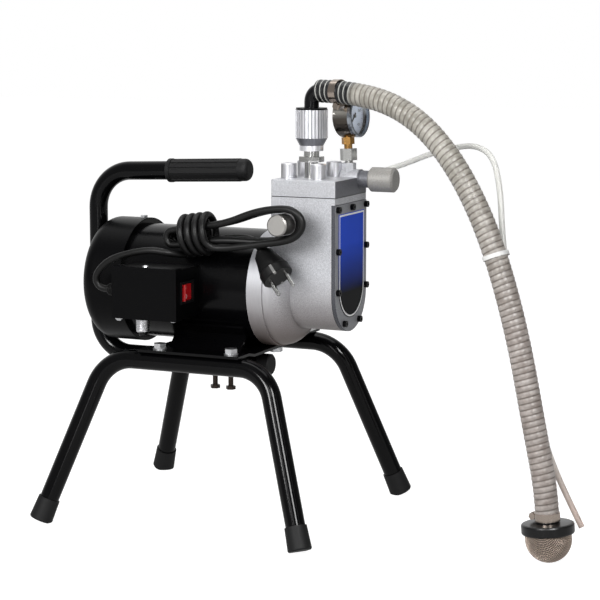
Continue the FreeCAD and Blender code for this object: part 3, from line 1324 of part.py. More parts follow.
RETURN_START = HOUSING_RADIUS + RETURN_NUT
RETURN_ROUTE = ((RETURN_BARB_X, RETURN_START, RETURN_HEIGHT), (RETURN_BARB_X, 64.0, RETURN_HEIGHT),
                (167.0, 81.9, 399.5), (188.0, 88.7, 406.5), (209.0, 81.9, 414.5),
                (235.0, 60.0, 423.0), (268.0, 38.0, 431.5), (303.0, 12.0, 437.0),
                (329.0, -5.0, 427.0), (341.5, -17.0, 393.0), (348.5, -30.0, 352.0),
                (354.0, -36.5, 322.0), (363.0, -38.5, 285.0), (379.0, -42.0, 232.0),
                (392.0, -44.5, 178.0), (404.0, -46.0, 130.0), (419.0, -45.5, 92.0),
                (434.0, -45.0, 62.0), (448.3, -45.0, 35.3))
CORD_SIDES = 8


def return_barb():
    face = at(RETURN_BARB_X, HOUSING_RADIUS, RETURN_HEIGHT)
    thread = rod(RETURN_THREAD_OD, RETURN_THREAD_DEPTH, face - Y * RETURN_THREAD_DEPTH, Y)
    nut = hexagon(RETURN_NUT_AF, RETURN_NUT, face, Y)
    tail = rod(RETURN_HOSE_BORE, RETURN_TAIL, face + Y * RETURN_NUT, Y)
    return thread.fuse([nut, tail])


def return_hose():
    path, radii = bent_path([at(*point) for point in RETURN_ROUTE])
    hose = swept(path, polygon(RETURN_HOSE_OD / 2, 12, 15))
    print("return hose length %.0f mm, tightest %.0f mm" % (path.Length, min(radii)))
    return hose.cut(rod(RETURN_HOSE_BORE, RETURN_TAIL, at(RETURN_BARB_X, RETURN_START, RETURN_HEIGHT), Y))


def nearest_on(path, point):
    """How far along a path the place nearest to a point is."""
    steps = [i * 1.0 for i in range(int(path.Length))]
    return min(steps, key=lambda s: (along(path, s)[0] - point).Length)


def cable_tie():
    """A plain strap pulled round the return hose and the suction hose."""
    suction, small = hose_path(), bent_path([at(*point) for point in RETURN_ROUTE])[0]
    centre, ahead = min((along(suction, s) for s in range(int(suction.Length))),
                        key=lambda place: abs(place[0].z - CABLE_TIE_HEIGHT))
    other = along(small, nearest_on(small, centre))[0]
    other = other - ahead * (other - centre).dot(ahead)
    aside = other - centre
    wide, narrow = HOSE_OD / 2 + HOSE_RIB + GAP, RETURN_HOSE_OD / 2 + TIE_SLACK
    straps = []
    for grow in (1.3, 0.0):
        big = rod(2 * (wide + grow), 4.6, centre, ahead)
        little = rod(2 * (narrow + grow), 4.6, other, ahead)
        straps.append(hull_of_rods(centre, wide + grow, other, narrow + grow, ahead, 4.6)
                      .fuse([big, little]))
    print("cable tie between axes %.1f mm apart" % aside.Length)
    return straps[0].cut(straps[1])


def hull_of_rods(centre, radius, other, small, ahead, length):
    """The straight flanks of a strap round two parallel rods, as one slab."""
    apart = other - centre
    reach = apart.Length
    out = apart.normalize()
    side = ahead.cross(out)
    lean = (radius - small) / reach
    up = math.sqrt(1 - lean * lean)
    corners = [centre + out * (radius * lean) + side * (radius * up),
               other + out * (small * lean) + side * (small * up),
               other + out * (small * lean) - side * (small * up),
               centre + out * (radius * lean) - side * (radius * up)]
    return Part.Face(Part.makePolygon(corners + corners[:1])).extrude(ahead * length)


# The pressure control on the near face of the housing

def pressure_knob():
    face, radius = HOUSING_RADIUS + GAP, CONTROL_OD / 2
    length = -CONTROL_END_Y - face
    stem = CONTROL_STEM_OD / 2
    return turned(at(CONTROL_X, -face, CONTROL_HEIGHT), Y * -1, (0, -12.0), (stem, -12.0), (stem, 0),
                  (radius, 0), (radius, length - 1.5), (radius - 1.5, length), (0, length))


# The switch box on the near flank of the motor

LID = 1.6
BOX_RADIUS = SHELL_RADIUS
ROCKER_PIVOT_X = BOX_FRONT_X - 6.0
FRAME_DEPTH = 20.0


def box_block(wall, out_y):
    low = (BOX_REAR_X + wall, out_y, BOX_BOTTOM + LID + wall)
    high = (BOX_FRONT_X - wall, BOX_IN_Y + 12.0, BOX_TOP - LID - wall)
    return block(low, high)


def switch_box():
    """A pressed box, open at the lid, whose back is hollowed to sit on the shell."""
    length = BOX_FRONT_X - BOX_REAR_X + 2
    outside = box_block(0, BOX_OUT_Y + LID).cut(
        rod(2 * BOX_RADIUS, length, on_axis(BOX_REAR_X - 1), X))
    inside = box_block(BOX_WALL, BOX_OUT_Y + LID).cut(
        rod(2 * (BOX_RADIUS + BOX_WALL), length, on_axis(BOX_REAR_X - 1), X))
    wide, tall = BEZEL_WIDTH / 2 - 1.2, BEZEL_TALL / 2 - 1.2
    window = block((BOX_FRONT_X - 5, ROCKER_Y - wide, ROCKER_HEIGHT - tall),
                   (BOX_FRONT_X + 1, ROCKER_Y + wide, ROCKER_HEIGHT + tall))
    holes = [window, rod(RESET_OD - 4, 12, at(RESET_X, RESET_Y, BOX_BOTTOM - 4), Z),
             rod(GLAND_OD - 6, 8, at(BOX_REAR_X - 2, GLAND_Y, GLAND_HEIGHT), X)]
    return outside.cut([inside] + holes)


def box_lid():
    """A folded cover: its face, and two flanges that lap the top and the bottom."""
    flange = 14.0
    face = block((BOX_REAR_X, BOX_OUT_Y, BOX_BOTTOM), (BOX_FRONT_X, BOX_OUT_Y + LID, BOX_TOP))
    top = block((BOX_REAR_X, BOX_OUT_Y, BOX_TOP - LID), (BOX_FRONT_X, BOX_OUT_Y + flange, BOX_TOP))
    low = block((BOX_REAR_X, BOX_OUT_Y, BOX_BOTTOM), (BOX_FRONT_X, BOX_OUT_Y + flange, BOX_BOTTOM + LID))
    return face.fuse([top, low]).removeSplitter()


def lid_screws():
    screws = []
    for x, z, direction in ((-43.8, BOX_TOP, Z), (-77.0, BOX_BOTTOM, Z * -1), (-9.0, BOX_BOTTOM, Z * -1)):
        screws.append(faceted(at(x, BOX_OUT_Y + 7.0, z), direction, 12, (3.6, 0), (3.3, 1.2), (2.0, 1.9)))
    return group(screws)


def rocker_frame():
    wide, tall = BEZEL_WIDTH / 2, BEZEL_TALL / 2
    skin = 1.2
    bezel = block((BOX_FRONT_X, -wide, -tall), (BOX_FRONT_X + 1.6, wide, tall))
    body = block((BOX_FRONT_X - FRAME_DEPTH, skin - wide, skin - tall),
                 (BOX_FRONT_X, wide - skin, tall - skin))
    hollow = block((BOX_FRONT_X - FRAME_DEPTH + skin, 2.1 - wide, -ROCKER_TALL / 2 - GAP),
                   (BOX_FRONT_X + 2, wide - 2.1, ROCKER_TALL / 2 + GAP))
    frame = bezel.fuse(body).cut(hollow)
    pivot = rod(2.4 + 2 * RUN, BEZEL_TALL - 2 * skin - 1.0,
                at(ROCKER_PIVOT_X, 0, skin - tall + 0.5), Z)
    frame = frame.cut(pivot)
    frame.translate(at(0, ROCKER_Y, ROCKER_HEIGHT))
    return frame


def rocker():
    """Two lobes that meet in a shallow vee, at rest with the near lobe out."""
    half, tall = ROCKER_WIDTH / 2, ROCKER_TALL / 2
    nose, vee, heel = 7.4, 4.8, 3.4
    corners = [at(nose, -half, 0), at(vee, 0, 0), at(nose, half, 0), at(0, half, 0),
               at(-heel, 3.5, 0), at(-heel, -3.5, 0), at(0, -half, 0)]
    body = Part.Face(Part.makePolygon(corners + corners[:1])).extrude(Z * ROCKER_TALL)
    body.translate(Z * -tall)
    pins = rod(2.4, ROCKER_TALL + 2.2, at(0, 0, -tall - 1.1), Z)
    body = body.fuse(pins)
    body.rotate(at(0, 0, 0), Z, ROCKER_TILT)
    body.translate(at(ROCKER_PIVOT_X, ROCKER_Y, ROCKER_HEIGHT))
    return body


def run_capacitor():
    low = BOX_BOTTOM + LID + BOX_WALL
    centre = at(BOX_REAR_X + BOX_WALL + 3.0, BOX_IN_Y - 23.0, low + CAPACITOR_OD / 2)
    return prism(CAPACITOR_OD / 2, 16, CAPACITOR_LENGTH, centre, X, 11.25)


def reset_neck():
    radius, bore = RESET_OD / 2, RESET_BUTTON_OD / 2 + RUN
    top = BOX_BOTTOM
    return turned(at(RESET_X, RESET_Y, 0), Z, (bore, RESET_BOTTOM), (radius - 0.8, RESET_BOTTOM),
                  (radius, RESET_BOTTOM + 0.8), (radius, top), (radius - 2, top),
                  (radius - 2, top + 4), (bore + 0.9, top + 4),
                  (bore + 0.9, RESET_BOTTOM + 5), (bore, RESET_BOTTOM + 5))


def reset_button():
    radius = RESET_BUTTON_OD / 2
    base = RESET_BOTTOM - RESET_TRAVEL - 1.5
    collar = RESET_BOTTOM + 5 + END_PLAY
    return turned(at(RESET_X, RESET_Y, 0), Z, (0, base), (radius - 0.8, base), (radius, base + 0.8),
                  (radius, collar), (radius + 0.8, collar), (radius + 0.8, collar + 3), (0, collar + 3))


def cord_gland():
    tip = GLAND_LENGTH
    return turned(at(BOX_REAR_X, GLAND_Y, GLAND_HEIGHT), X * -1, (0, -5), (GLAND_OD / 2 - 3, -5),
                  (GLAND_OD / 2 - 3, 0), (GLAND_OD / 2, 0), (GLAND_OD / 2, 4),
                  (GLAND_OD / 2 - 2.5, 5), (CORD_OD / 2 + 1.4, tip), (0, tip))


# The mains lead: a free lead from the gland, a hank on the control knob, and a tail to the plug

LEAD_ROUTE = ((BOX_REAR_X - GLAND_LENGTH, GLAND_Y, GLAND_HEIGHT), (-110.5, GLAND_Y, GLAND_HEIGHT),
              (-116.5, GLAND_Y - 1.6, GLAND_HEIGHT + 10.0), (-111.5, GLAND_Y - 2.6, GLAND_HEIGHT + 21.5),
              (-95.5, GLAND_Y - 3.0, GLAND_HEIGHT + 35.0), (-69.0, GLAND_Y - 3.0, GLAND_HEIGHT + 43.5),
              (-43.0, GLAND_Y - 1.5, GLAND_HEIGHT + 48.0), (-22.0, GLAND_Y + 2.5, GLAND_HEIGHT + 44.5))
TAIL_ROUTE = ((CONTROL_X - 57.0, HANK_Y + 15.0, CONTROL_HEIGHT - 18.0),
              (CONTROL_X - 45.0, HANK_Y + 17.5, CONTROL_HEIGHT - 20.0))
PLUG_CENTRE = at(CONTROL_X - PLUG_BEHIND, PLUG_Y, CONTROL_HEIGHT - PLUG_DROP)
PLUG_AHEAD = at(0.66, -0.28, -0.70)
HANK_SWING = math.radians(HANK_TURN)


def in_hank(along_hank, up, out):
    """A point of the hank: distance left of the knob, height over the hank's axis, and depth."""
    back, rise = math.cos(HANK_SWING), math.sin(HANK_SWING)
    return at(CONTROL_X - along_hank * back - up * rise, HANK_Y + out,
              CONTROL_HEIGHT - along_hank * rise + up * back)


def hank_direction(along_hank, up, out):
    return (in_hank(along_hank, up, out) - in_hank(0, 0, 0)).normalize()


def hank_nodes():
    """Points and directions down the hank: the wraps, then each loop round the knob."""
    nodes = []
    turns = (1560.0 - 180.0) / 360.0
    lead = (WRAP_START - WRAP_END) / (2 * math.pi * turns)
    for degrees in list(range(180, 1531, 90)) + [1560]:
        angle = math.radians(degrees)
        left = WRAP_START - lead * math.radians(degrees - 180)
        nodes.append((in_hank(left, WRAP_RADIUS * math.cos(angle), -WRAP_RADIUS * math.sin(angle)),
                      hank_direction(-lead, -WRAP_RADIUS * math.sin(angle),
                                     -WRAP_RADIUS * math.cos(angle))))
    to_knob, from_knob = hank_direction(-1, 0, 0), hank_direction(1, 0, 0)
    upward, downward = hank_direction(0, 1, 0), hank_direction(0, -1, 0)
    nodes.append((in_hank(WRAP_END - 10.0, -18.6, -13.4), to_knob))
    waist, waist_end = HANK_WAIST, WRAP_END - 8.0
    for loop in range(HANK_LOOPS):
        outward = HANK_LOOPS - 1 - loop
        radius = HANK_INNER_RADIUS + HANK_RADIUS_STEP * outward
        nose = HANK_INNER_RADIUS + HANK_NOSE_STEP * outward
        layer = HANK_LAYER * (loop - (HANK_LOOPS - 1) / 2)
        nodes += [(in_hank(0, -radius, layer), to_knob), (in_hank(-nose, 0, layer), upward),
                  (in_hank(0, radius, layer), from_knob), (in_hank(waist_end, waist, layer), from_knob),
                  (in_hank(HANK_END, waist, layer), from_knob),
                  (in_hank(HANK_END + waist, 0, layer), downward),
                  (in_hank(HANK_END, -waist, layer), to_knob),
                  (in_hank(waist_end, -waist, layer), to_knob)]
    return nodes


def corner_arc(start, corner, end):
    """The arc that leaves start towards a corner and reaches end from it."""
    reach, span = corner - start, end - start
    if reach.Length < 1e-9 or reach.getAngle(span) < 1e-6:
        return Part.LineSegment(start, end).toShape()
    half_turn = reach.getAngle(end - corner) / 2
    middle = (start + end) * 0.5
    share = math.cos(half_turn) / (1 + math.cos(half_turn))
    return Part.Arc(start, middle + (corner - middle) * share, end).toShape()


def biarcs(nodes):
    """One smooth wire of arcs and straight runs through points with their directions."""
    edges = []
    for (start, leaving), (end, arriving) in zip(nodes, nodes[1:]):
        span = end - start
        if leaving.getAngle(span) < 1e-6 and arriving.getAngle(span) < 1e-6:
            edges.append(Part.LineSegment(start, end).toShape())
            continue
        both = leaving + arriving
        spread = 2 * (1 - leaving.dot(arriving))
        if spread < 1e-9:
            reach = span.dot(span) / (4 * span.dot(arriving))
        else:
            reach = (math.sqrt(span.dot(both) ** 2 + spread * span.dot(span)) - span.dot(both)) / spread
        first, second = start + leaving * reach, end - arriving * reach
        joint = (first + second) * 0.5
        edges += [corner_arc(start, first, joint), corner_arc(joint, second, end)]
    return Part.Wire(edges)


def self_gap(path, od):
    """The least distance between two stretches of a wound cord, less its diameter."""
    step = 2.0
    points = [along(path, i * step)[0] for i in range(int(path.Length / step))]
    skip = int(2.5 * od / step)
    least = min((points[i] - points[j]).Length for i in range(len(points))
                for j in range(i + skip, len(points)))
    return least - od


def cord_section():
    return polygon(CORD_OD / 2, CORD_SIDES, 180.0 / CORD_SIDES)


def lead_path():
    start, ahead = hank_nodes()[0]
    return bent_path([at(*point) for point in LEAD_ROUTE] + [start - ahead * 12.0, start])


def tail_path():
    start, ahead = hank_nodes()[-1]
    axis = plug_axis()
    end = PLUG_CENTRE - axis * (PLUG_LENGTH * 0.45 + PLUG_RELIEF)
    return bent_path([start, start + ahead * 12.0] + [at(*point) for point in TAIL_ROUTE]
                     + [end - axis * 5.0, end])


def mains_cord():
    """The whole lead as one unbroken tube, from the gland through the hank to the plug."""
    (lead, lead_radii), (tail, tail_radii) = lead_path(), tail_path()
    path = Part.Wire(lead.OrderedEdges + biarcs(hank_nodes()).OrderedEdges + tail.OrderedEdges)
    section = cord_section()
    cord = swept(path, section)
    area = Part.Face(section).Area
    print("mains cord length %.0f mm, least gap to itself %.2f mm" % (path.Length, self_gap(path, CORD_OD)))
    print("lead radii", " ".join("%.0f" % r for r in lead_radii))
    print("tail radii", " ".join("%.0f" % r for r in tail_radii))
    print("mains cord volume over section times length %.4f" % (cord.Volume / (area * path.Length)))
    return cord


def plug_axis():
    return at(PLUG_AHEAD.x, PLUG_AHEAD.y, PLUG_AHEAD.z).normalize()


def pin_places():
    axis = plug_axis()
    across = at(0.70, 0.41, 0.58)
    across = (across - axis * across.dot(axis)).normalize()
    face = PLUG_CENTRE + axis * (PLUG_LENGTH * 0.55)
    return [face + across * (side * PIN_SPACING / 2) for side in (-1, 1)], axis


def plug_body():
    axis = plug_axis()
    rear, relief = PLUG_LENGTH * 0.45, PLUG_RELIEF
    radius = PLUG_BODY_OD / 2
    front = PLUG_LENGTH * 0.55
    body = turned(PLUG_CENTRE, axis, (0, -rear - relief), (CORD_OD / 2 + 0.6, -rear - relief),
                  (CORD_OD / 2 + 2.4, -rear), (radius * 0.62, -rear), (radius * 0.72, -rear + 8),
                  (radius - 1, front - 12), (radius, front - 10), (radius, front - 1),
                  (radius - 1, front), (0, front))
    places = pin_places()[0]
    return body.cut([rod(PIN_OD, 14.0, place - axis * 14.0, axis) for place in places])


def plug_pins():
    places, axis = pin_places()
    pins = []
    for place in places:
        pins.append(turned(place, axis, (0, -14), (PIN_OD / 2, -14), (PIN_OD / 2, PIN_LENGTH - 1.4),
                           (PIN_OD / 4, PIN_LENGTH), (0, PIN_LENGTH)))
    return group(pins)


# Every piece by its name

NODES = {
    "near_leg_tube": leg_tube(-1),
    "far_leg_tube": leg_tube(1),
    "rubber_caps": group([rubber_feet(), handle_end_cap()]),
    "handle_tube": handle_tube(),
    "handle_grip": handle_grip(),
    "handle_clamp": group([handle_clamp(), clamp_saddle()]),
    "motor_cradle": group([motor_cradle(), cradle_wings()]),
    "stand_bolts": group([rail_bolts(), flange_bolt(), set_bolts()]),
    "motor_shell": motor_shell(),
    "stator_core": stator_core(),
    "stator_windings": stator_windings(),
    "rear_end_shield": rear_end_shield(),
    "motor_bearings": motor_bearings(),
    "motor_shaft": motor_shaft(),
    "rotor_core": rotor_core(),
    "cooling_fan": cooling_fan(),
    "fan_cowl": fan_cowl(),
    "case_screws": group([cowl_screws(), tie_rods(), lid_screws()]),
    "pump_housing": pump_housing(),
    "pump_seals": group([shaft_seal(), cover_gasket(), diaphragm()]),
    "crank_eccentric": group([crank_eccentric(), crank_ring()]),
    "pump_piston": pump_piston(),
    "piston_sleeve": piston_sleeve(),
    "piston_spring": piston_spring(),
    "front_cover": front_cover(),
    "cover_screws": cover_screws(),
    "cover_plate": cover_plate(),
    "head_block": head_block(),
    "head_bolts": head_bolts(),
    "suction_fitting": group([suction_fitting(), inlet_seat()]),
    "inlet_poppet": inlet_poppet(),
    "inlet_spring": inlet_spring(),
    "outlet_ball": outlet_ball(),
    "outlet_fittings": group([paint_outlet(), return_barb()]),
    "union_nut": group([union_nut(), nut_ring()]),
    "suction_elbow": suction_elbow(),
    "suction_hose": suction_hose(),
    "hose_clamps": hose_clamps(),
    "strainer_body": strainer_body(),
    "strainer_mesh": strainer_mesh(),
    "gauge_adaptor": leaned(gauge_adaptor()),
    "gauge_socket": leaned(gauge_socket()),
    "gauge_case": leaned(gauge_case()),
    "gauge_dial": leaned(gauge_dial()),
    "gauge_lens": leaned(gauge_lens()),
    "gauge_needle": leaned(gauge_needle()),
    "prime_valve_knob": prime_valve_knob(),
    "return_hose": return_hose(),
    "cable_tie": cable_tie(),
    "pressure_knob": pressure_knob(),
    "switch_box": group([switch_box(), box_lid()]),
    "rocker_frame": rocker_frame(),
    "rocker": rocker(),
    "run_capacitor": run_capacitor(),
    "reset_neck": reset_neck(),
    "reset_button": reset_button(),
    "cord_gland": cord_gland(),
    "mains_cord": mains_cord(),
    "plug_body": plug_body(),
    "plug_pins": plug_pins(),
}

REAR_MOST = HANDLE_REAR_X - TUBE_OD / 2
CENTRE = -(REAR_MOST + VALVE_KNOB_FRONT_X) / 2

os.makedirs("parts", exist_ok=True)
for name, shape in NODES.items():
    shape.translate(X * CENTRE)
    shape.exportStep("parts/%s.step" % name)
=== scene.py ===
# %% [markdown]
# An airless paint sprayer: a motor and a diaphragm pump on a stand of bent tubes. The solid
# model is loaded first as a fixed frame, and each surface is then dressed over it. A part
# could be modelled again from nothing, but every size is right already in the solids, so only
# what a solid can't show is added: soft cords, wire, marks and the skins of the materials.

import math

import bmesh
import bpy
from mathutils import Matrix, Vector


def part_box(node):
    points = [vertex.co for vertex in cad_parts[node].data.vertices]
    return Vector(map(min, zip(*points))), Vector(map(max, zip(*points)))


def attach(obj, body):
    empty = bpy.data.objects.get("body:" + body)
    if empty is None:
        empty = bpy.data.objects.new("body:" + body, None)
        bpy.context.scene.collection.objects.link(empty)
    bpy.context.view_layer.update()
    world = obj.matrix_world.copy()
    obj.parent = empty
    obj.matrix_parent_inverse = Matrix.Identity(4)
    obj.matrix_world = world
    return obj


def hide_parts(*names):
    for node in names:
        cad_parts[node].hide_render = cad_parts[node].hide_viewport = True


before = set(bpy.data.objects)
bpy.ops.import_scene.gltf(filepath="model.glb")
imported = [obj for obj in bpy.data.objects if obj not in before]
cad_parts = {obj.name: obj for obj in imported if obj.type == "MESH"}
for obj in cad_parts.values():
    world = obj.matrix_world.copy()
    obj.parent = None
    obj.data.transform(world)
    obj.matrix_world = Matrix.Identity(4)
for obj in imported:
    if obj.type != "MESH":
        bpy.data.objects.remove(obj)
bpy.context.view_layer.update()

SHIFT = -0.01215   # from the middle of the feet to the middle of the machine, along X


def drawn(x, y, z):
    """A point in millimetres about the middle of the feet, in the frame."""
    return Vector((x / 1000 + SHIFT, y / 1000, z / 1000))


def shown(name, data):
    """A new object at the origin with its place in its data."""
    piece = bpy.data.objects.new(name, data)
    bpy.context.scene.collection.objects.link(piece)
    return piece


# %% [markdown]
# A picture taken from far away with a long lens has almost parallel edges. The stand's rails
# and the pump's upright edges were lined up with the picture until one place and one lens
# fitted them all, and that place is written here as plain numbers.

# %% The camera
lens = bpy.data.cameras.new("long_lens")
lens.lens, lens.sensor_width, lens.sensor_fit = 120, 36, "HORIZONTAL"
lens.clip_end = 20
camera = shown("camera", lens)
camera.location = (1.02165, -2.0689, 0.5886)
camera.rotation_euler = Vector((-0.4083, 0.9011, -0.1457)).to_track_quat("-Z", "Y").to_euler()
bpy.context.scene.camera = camera
print("camera", tuple(round(c, 3) for c in camera.location))

# %% [markdown]
# Materials and node trees are all made from one small step: add a node, set its options, and
# give each named input a value or a link. Colours are written as sRGB hex, as a paint chart
# gives them, and turned to the linear values that a shader mixes. Patterns are sized in
# millimetres.

# %% One node at a time
def add(tree, kind, wires=None, **options):
    node = tree.nodes.new(kind)
    for option, value in options.items():
        setattr(node, option, value)
    for name, value in (wires or {}).items():
        if isinstance(value, bpy.types.NodeSocket):
            tree.links.new(value, node.inputs[name])
        else:
            node.inputs[name].default_value = value
    return node


def linear(hexed):
    parts = [int(hexed[i:i + 2], 16) / 255 for i in (0, 2, 4)]
    return (*[c / 12.92 if c <= 0.04045 else ((c + 0.055) / 1.055) ** 2.4 for c in parts], 1.0)


def surface(name, colour, **sockets):
    """A material whose shader has plain values, and the place on the piece for its patterns."""
    material = bpy.data.materials.new(name)
    material.use_nodes = True
    tree = material.node_tree
    tree.nodes.clear()
    values = {key.replace("_", " "): value for key, value in sockets.items()}
    shader = add(tree, "ShaderNodeBsdfPrincipled", {"Base Color": linear(colour), **values})
    add(tree, "ShaderNodeOutputMaterial", {"Surface": shader.outputs[0]})
    place = add(tree, "ShaderNodeTexCoord").outputs["Object"]
    print("material", name)
    return material, tree, shader, place


def feed(tree, shader, **links):
    """Let what a node gives decide a value of the shader, from point to point."""
    for name, output in links.items():
        tree.links.new(output, shader.inputs[name.replace("_", " ")])


def grain(tree, place, size_mm, detail=2.0):
    """Noise whose blotches are about size_mm across."""
    return add(tree, "ShaderNodeTexNoise",
               {"Vector": place, "Scale": 1000.0 / size_mm, "Detail": detail}).outputs["Fac"]


def roughen(tree, shader, height, depth_mm, strength=1.0):
    bump = add(tree, "ShaderNodeBump",
               {"Height": height, "Strength": strength, "Distance": depth_mm / 1000})
    feed(tree, shader, Normal=bump.outputs[0])


def between(tree, amount, low, high, start=0.0, end=1.0):
    """Carry a number from start..end to low..high, and hold it there."""
    return add(tree, "ShaderNodeMapRange", {"Value": amount, "From Min": start, "From Max": end,
                                            "To Min": low, "To Max": high}).outputs["Result"]


def blended(tree, amount, first, second):
    """Blend two colours, each a hex value or a link."""
    colours = [linear(c) if isinstance(c, str) else c for c in (first, second)]
    return add(tree, "ShaderNodeMix", {0: amount, 6: colours[0], 7: colours[1]},
               data_type="RGBA").outputs[2]


def worked(tree, kind, first, second=0.0, third=0.0):
    """One step of arithmetic on numbers."""
    return add(tree, "ShaderNodeMath", {0: first, 1: second, 2: third}, operation=kind).outputs[0]


def near(tree, amount, target, reach):
    """1 where a number lies within reach of a target, and 0 elsewhere."""
    gap = worked(tree, "ABSOLUTE", worked(tree, "SUBTRACT", amount, target))
    return worked(tree, "LESS_THAN", gap, reach)


def distance(tree, first, second):
    """How far two offsets at right angles lead."""
    squares = [worked(tree, "POWER", offset, 2.0) for offset in (first, second)]
    return worked(tree, "SQRT", worked(tree, "ADD", *squares))


def steered(tree, kind, wires, output=0):
    """One step of arithmetic on places or directions."""
    return add(tree, "ShaderNodeVectorMath", wires, operation=kind).outputs[output]


def split(tree, vector):
    """The X, Y and Z of a place or a direction."""
    return add(tree, "ShaderNodeSeparateXYZ", {0: vector}).outputs


def dress(material, *names):
    """Give solid parts of the frame their finish."""
    for name in names:
        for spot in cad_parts[name].material_slots:
            spot.material = material


# %% [markdown]
# Soft studio light, as for a catalogue picture. The backdrop is pure white to the camera and to
# glass. A mirror sees the white backdrop too, but a dimmer room behind the camera and on the
# right, and that is what gives black paint its depth and plated steel its dark bands. The light
# that falls on matt surfaces from all round is weak, so the side away from the lamps is darker.

# %% World
BEHIND_CAMERA, RIGHT_HAND = 0.35, 0.2   # how bright a mirror sees the room there
MATT_LIGHT = 0.18   # how bright the room is to a matt surface
world = bpy.data.worlds.new("studio")
world.use_nodes = True
bpy.context.scene.world = world
tree = world.node_tree
tree.nodes.clear()
kinds = add(tree, "ShaderNodeLightPath").outputs
heading = split(tree, add(tree, "ShaderNodeTexCoord").outputs["Generated"])
room = worked(tree, "MULTIPLY", between(tree, heading["Y"], BEHIND_CAMERA, 1.0, -0.2, 0.5),
              between(tree, heading["X"], 1.0, RIGHT_HAND, -0.05, 0.4))
clear_view = worked(tree, "MAXIMUM", kinds["Is Camera Ray"], kinds["Is Transmission Ray"])
mirrored = worked(tree, "MULTIPLY", kinds["Is Glossy Ray"], room)
matt = worked(tree, "SUBTRACT", 1.0, worked(tree, "MAXIMUM", clear_view, kinds["Is Glossy Ray"]))
strength = worked(tree, "MULTIPLY_ADD", matt, MATT_LIGHT,
                  worked(tree, "MAXIMUM", clear_view, mirrored))
backdrop = add(tree, "ShaderNodeBackground", {"Color": linear("ffffff"), "Strength": strength})
add(tree, "ShaderNodeOutputWorld", {"Surface": backdrop.outputs[0]})
print("world nodes", len(tree.nodes))

# %% [markdown]
# The floor has to be as white as the backdrop, or a horizon shows, and yet keep the soft
# shadow under the feet. It gives off most of its white itself, and takes the rest from the
# lamps, so a shadow is only a little darker.

# %% Floor
FLOOR_GLOW, FLOOR_MIRRORED = 0.95, 0.45   # its own white, and the share of it in a mirror
floor_mesh = bpy.data.meshes.new("floor")
floor_mesh.from_pydata([(-9, -9, 0), (9, -9, 0), (9, 9, 0), (-9, 9, 0)], [], [(0, 1, 2, 3)])
floor = shown("floor", floor_mesh)
floor.location.z = -0.0002   # just under the feet, so that no two faces lie in one plane
paper, tree, shader, place = surface("white_paper", "9c9c9c", Roughness=0.9,
                                     Specular_IOR_Level=0.0)
kinds = add(tree, "ShaderNodeLightPath").outputs
watched = worked(tree, "MAXIMUM", kinds["Is Camera Ray"], kinds["Is Transmission Ray"])
watched = worked(tree, "MULTIPLY_ADD", kinds["Is Glossy Ray"], FLOOR_MIRRORED, watched)
shader.inputs["Emission Color"].default_value = linear("ffffff")
feed(tree, shader, Emission_Strength=worked(tree, "MULTIPLY", watched, FLOOR_GLOW))
floor.data.materials.append(paper)

# %% [markdown]
# A broad lamp over the left shoulder lights the near side, and a weaker one on the right lights
# the pump's front. Neither is mirrored, or it would lie as a grey band along the black motor.
# Strips on the right draw bright lines down the plated parts, and two bright cards stand where
# only the near legs mirror them, for the pair of lines that gloss black tubes have in a studio.

# %% Lamps
def softbox(name, place, aim, size, watts, mirrored=True, lighting=True):
    lamp = bpy.data.lights.new(name, "AREA")
    lamp.shape = "RECTANGLE"
    lamp.size, lamp.size_y = size
    lamp.energy = watts
    box = shown(name, lamp)
    box.location = place
    box.rotation_euler = (Vector(aim) - Vector(place)).to_track_quat("-Z", "Y").to_euler()
    box.visible_glossy = mirrored
    box.visible_diffuse = lighting
    box.visible_camera = box.visible_transmission = False


MIDDLE, NEAR_LEGS = (0, 0, 0.25), (0.12, -0.12, 0.1)
softbox("key", (-0.7, -2.2, 1.3), MIDDLE, (1.8, 1.4), 52, mirrored=False)
softbox("right_fill", (2.2, -0.9, 1.1), MIDDLE, (1.0, 1.0), 10, mirrored=False)
softbox("top", (0.0, 0.1, 2.0), (0, 0, 0.2), (1.8, 0.9), 12)
softbox("front_strip", (0.5, -2.3, 0.9), MIDDLE, (0.22, 1.8), 7)
softbox("right_strip", (1.8, -1.4, 0.8), MIDDLE, (0.1, 1.8), 3)
softbox("far_right_strip", (2.2, -0.4, 0.8), MIDDLE, (0.1, 1.6), 1.5)
softbox("high_strip", (0.6, -2.0, 1.6), (0, 0, 0.3), (1.6, 0.14), 5)
softbox("near_card", (-0.24, -2.23, 1.19), NEAR_LEGS, (0.5, 0.6), 36, lighting=False)
softbox("right_card", (1.53, -1.48, 1.49), NEAR_LEGS, (0.5, 0.9), 50, lighting=False)
bpy.context.scene.view_settings.view_transform = "Standard"
print("lamps", len(bpy.data.lights))

# %% [markdown]
# The cords come next. A cord is one soft line: a NURBS curve of order 3 that passes near the
# points it is given and never kinks, as a rubber jacket over copper strands does. Its thickness
# is stored at its points, with a bevel of 1, because a curve's box grows by that stored number.

# %% A soft line through points
def soft_line(name, points, radius=0.0):
    curve = bpy.data.curves.new(name, "CURVE")
    curve.dimensions = "3D"
    curve.resolution_u = 8
    spline = curve.splines.new("NURBS")
    spline.points.add(len(points) - 1)
    for knot, point in zip(spline.points, points):
        knot.co, knot.radius = (*point, 1.0), radius
    spline.order_u = 3
    spline.use_endpoint_u = True
    curve.bevel_depth = 1.0 if radius else 0.0
    curve.bevel_resolution = 6
    curve.use_fill_caps = True
    return shown(name, curve)


def drawn_mesh(piece):
    """What Blender draws for an object, as a plain mesh."""
    bpy.context.view_layer.update()
    seen = piece.evaluated_get(bpy.context.evaluated_depsgraph_get())
    return bpy.data.meshes.new_from_object(seen)


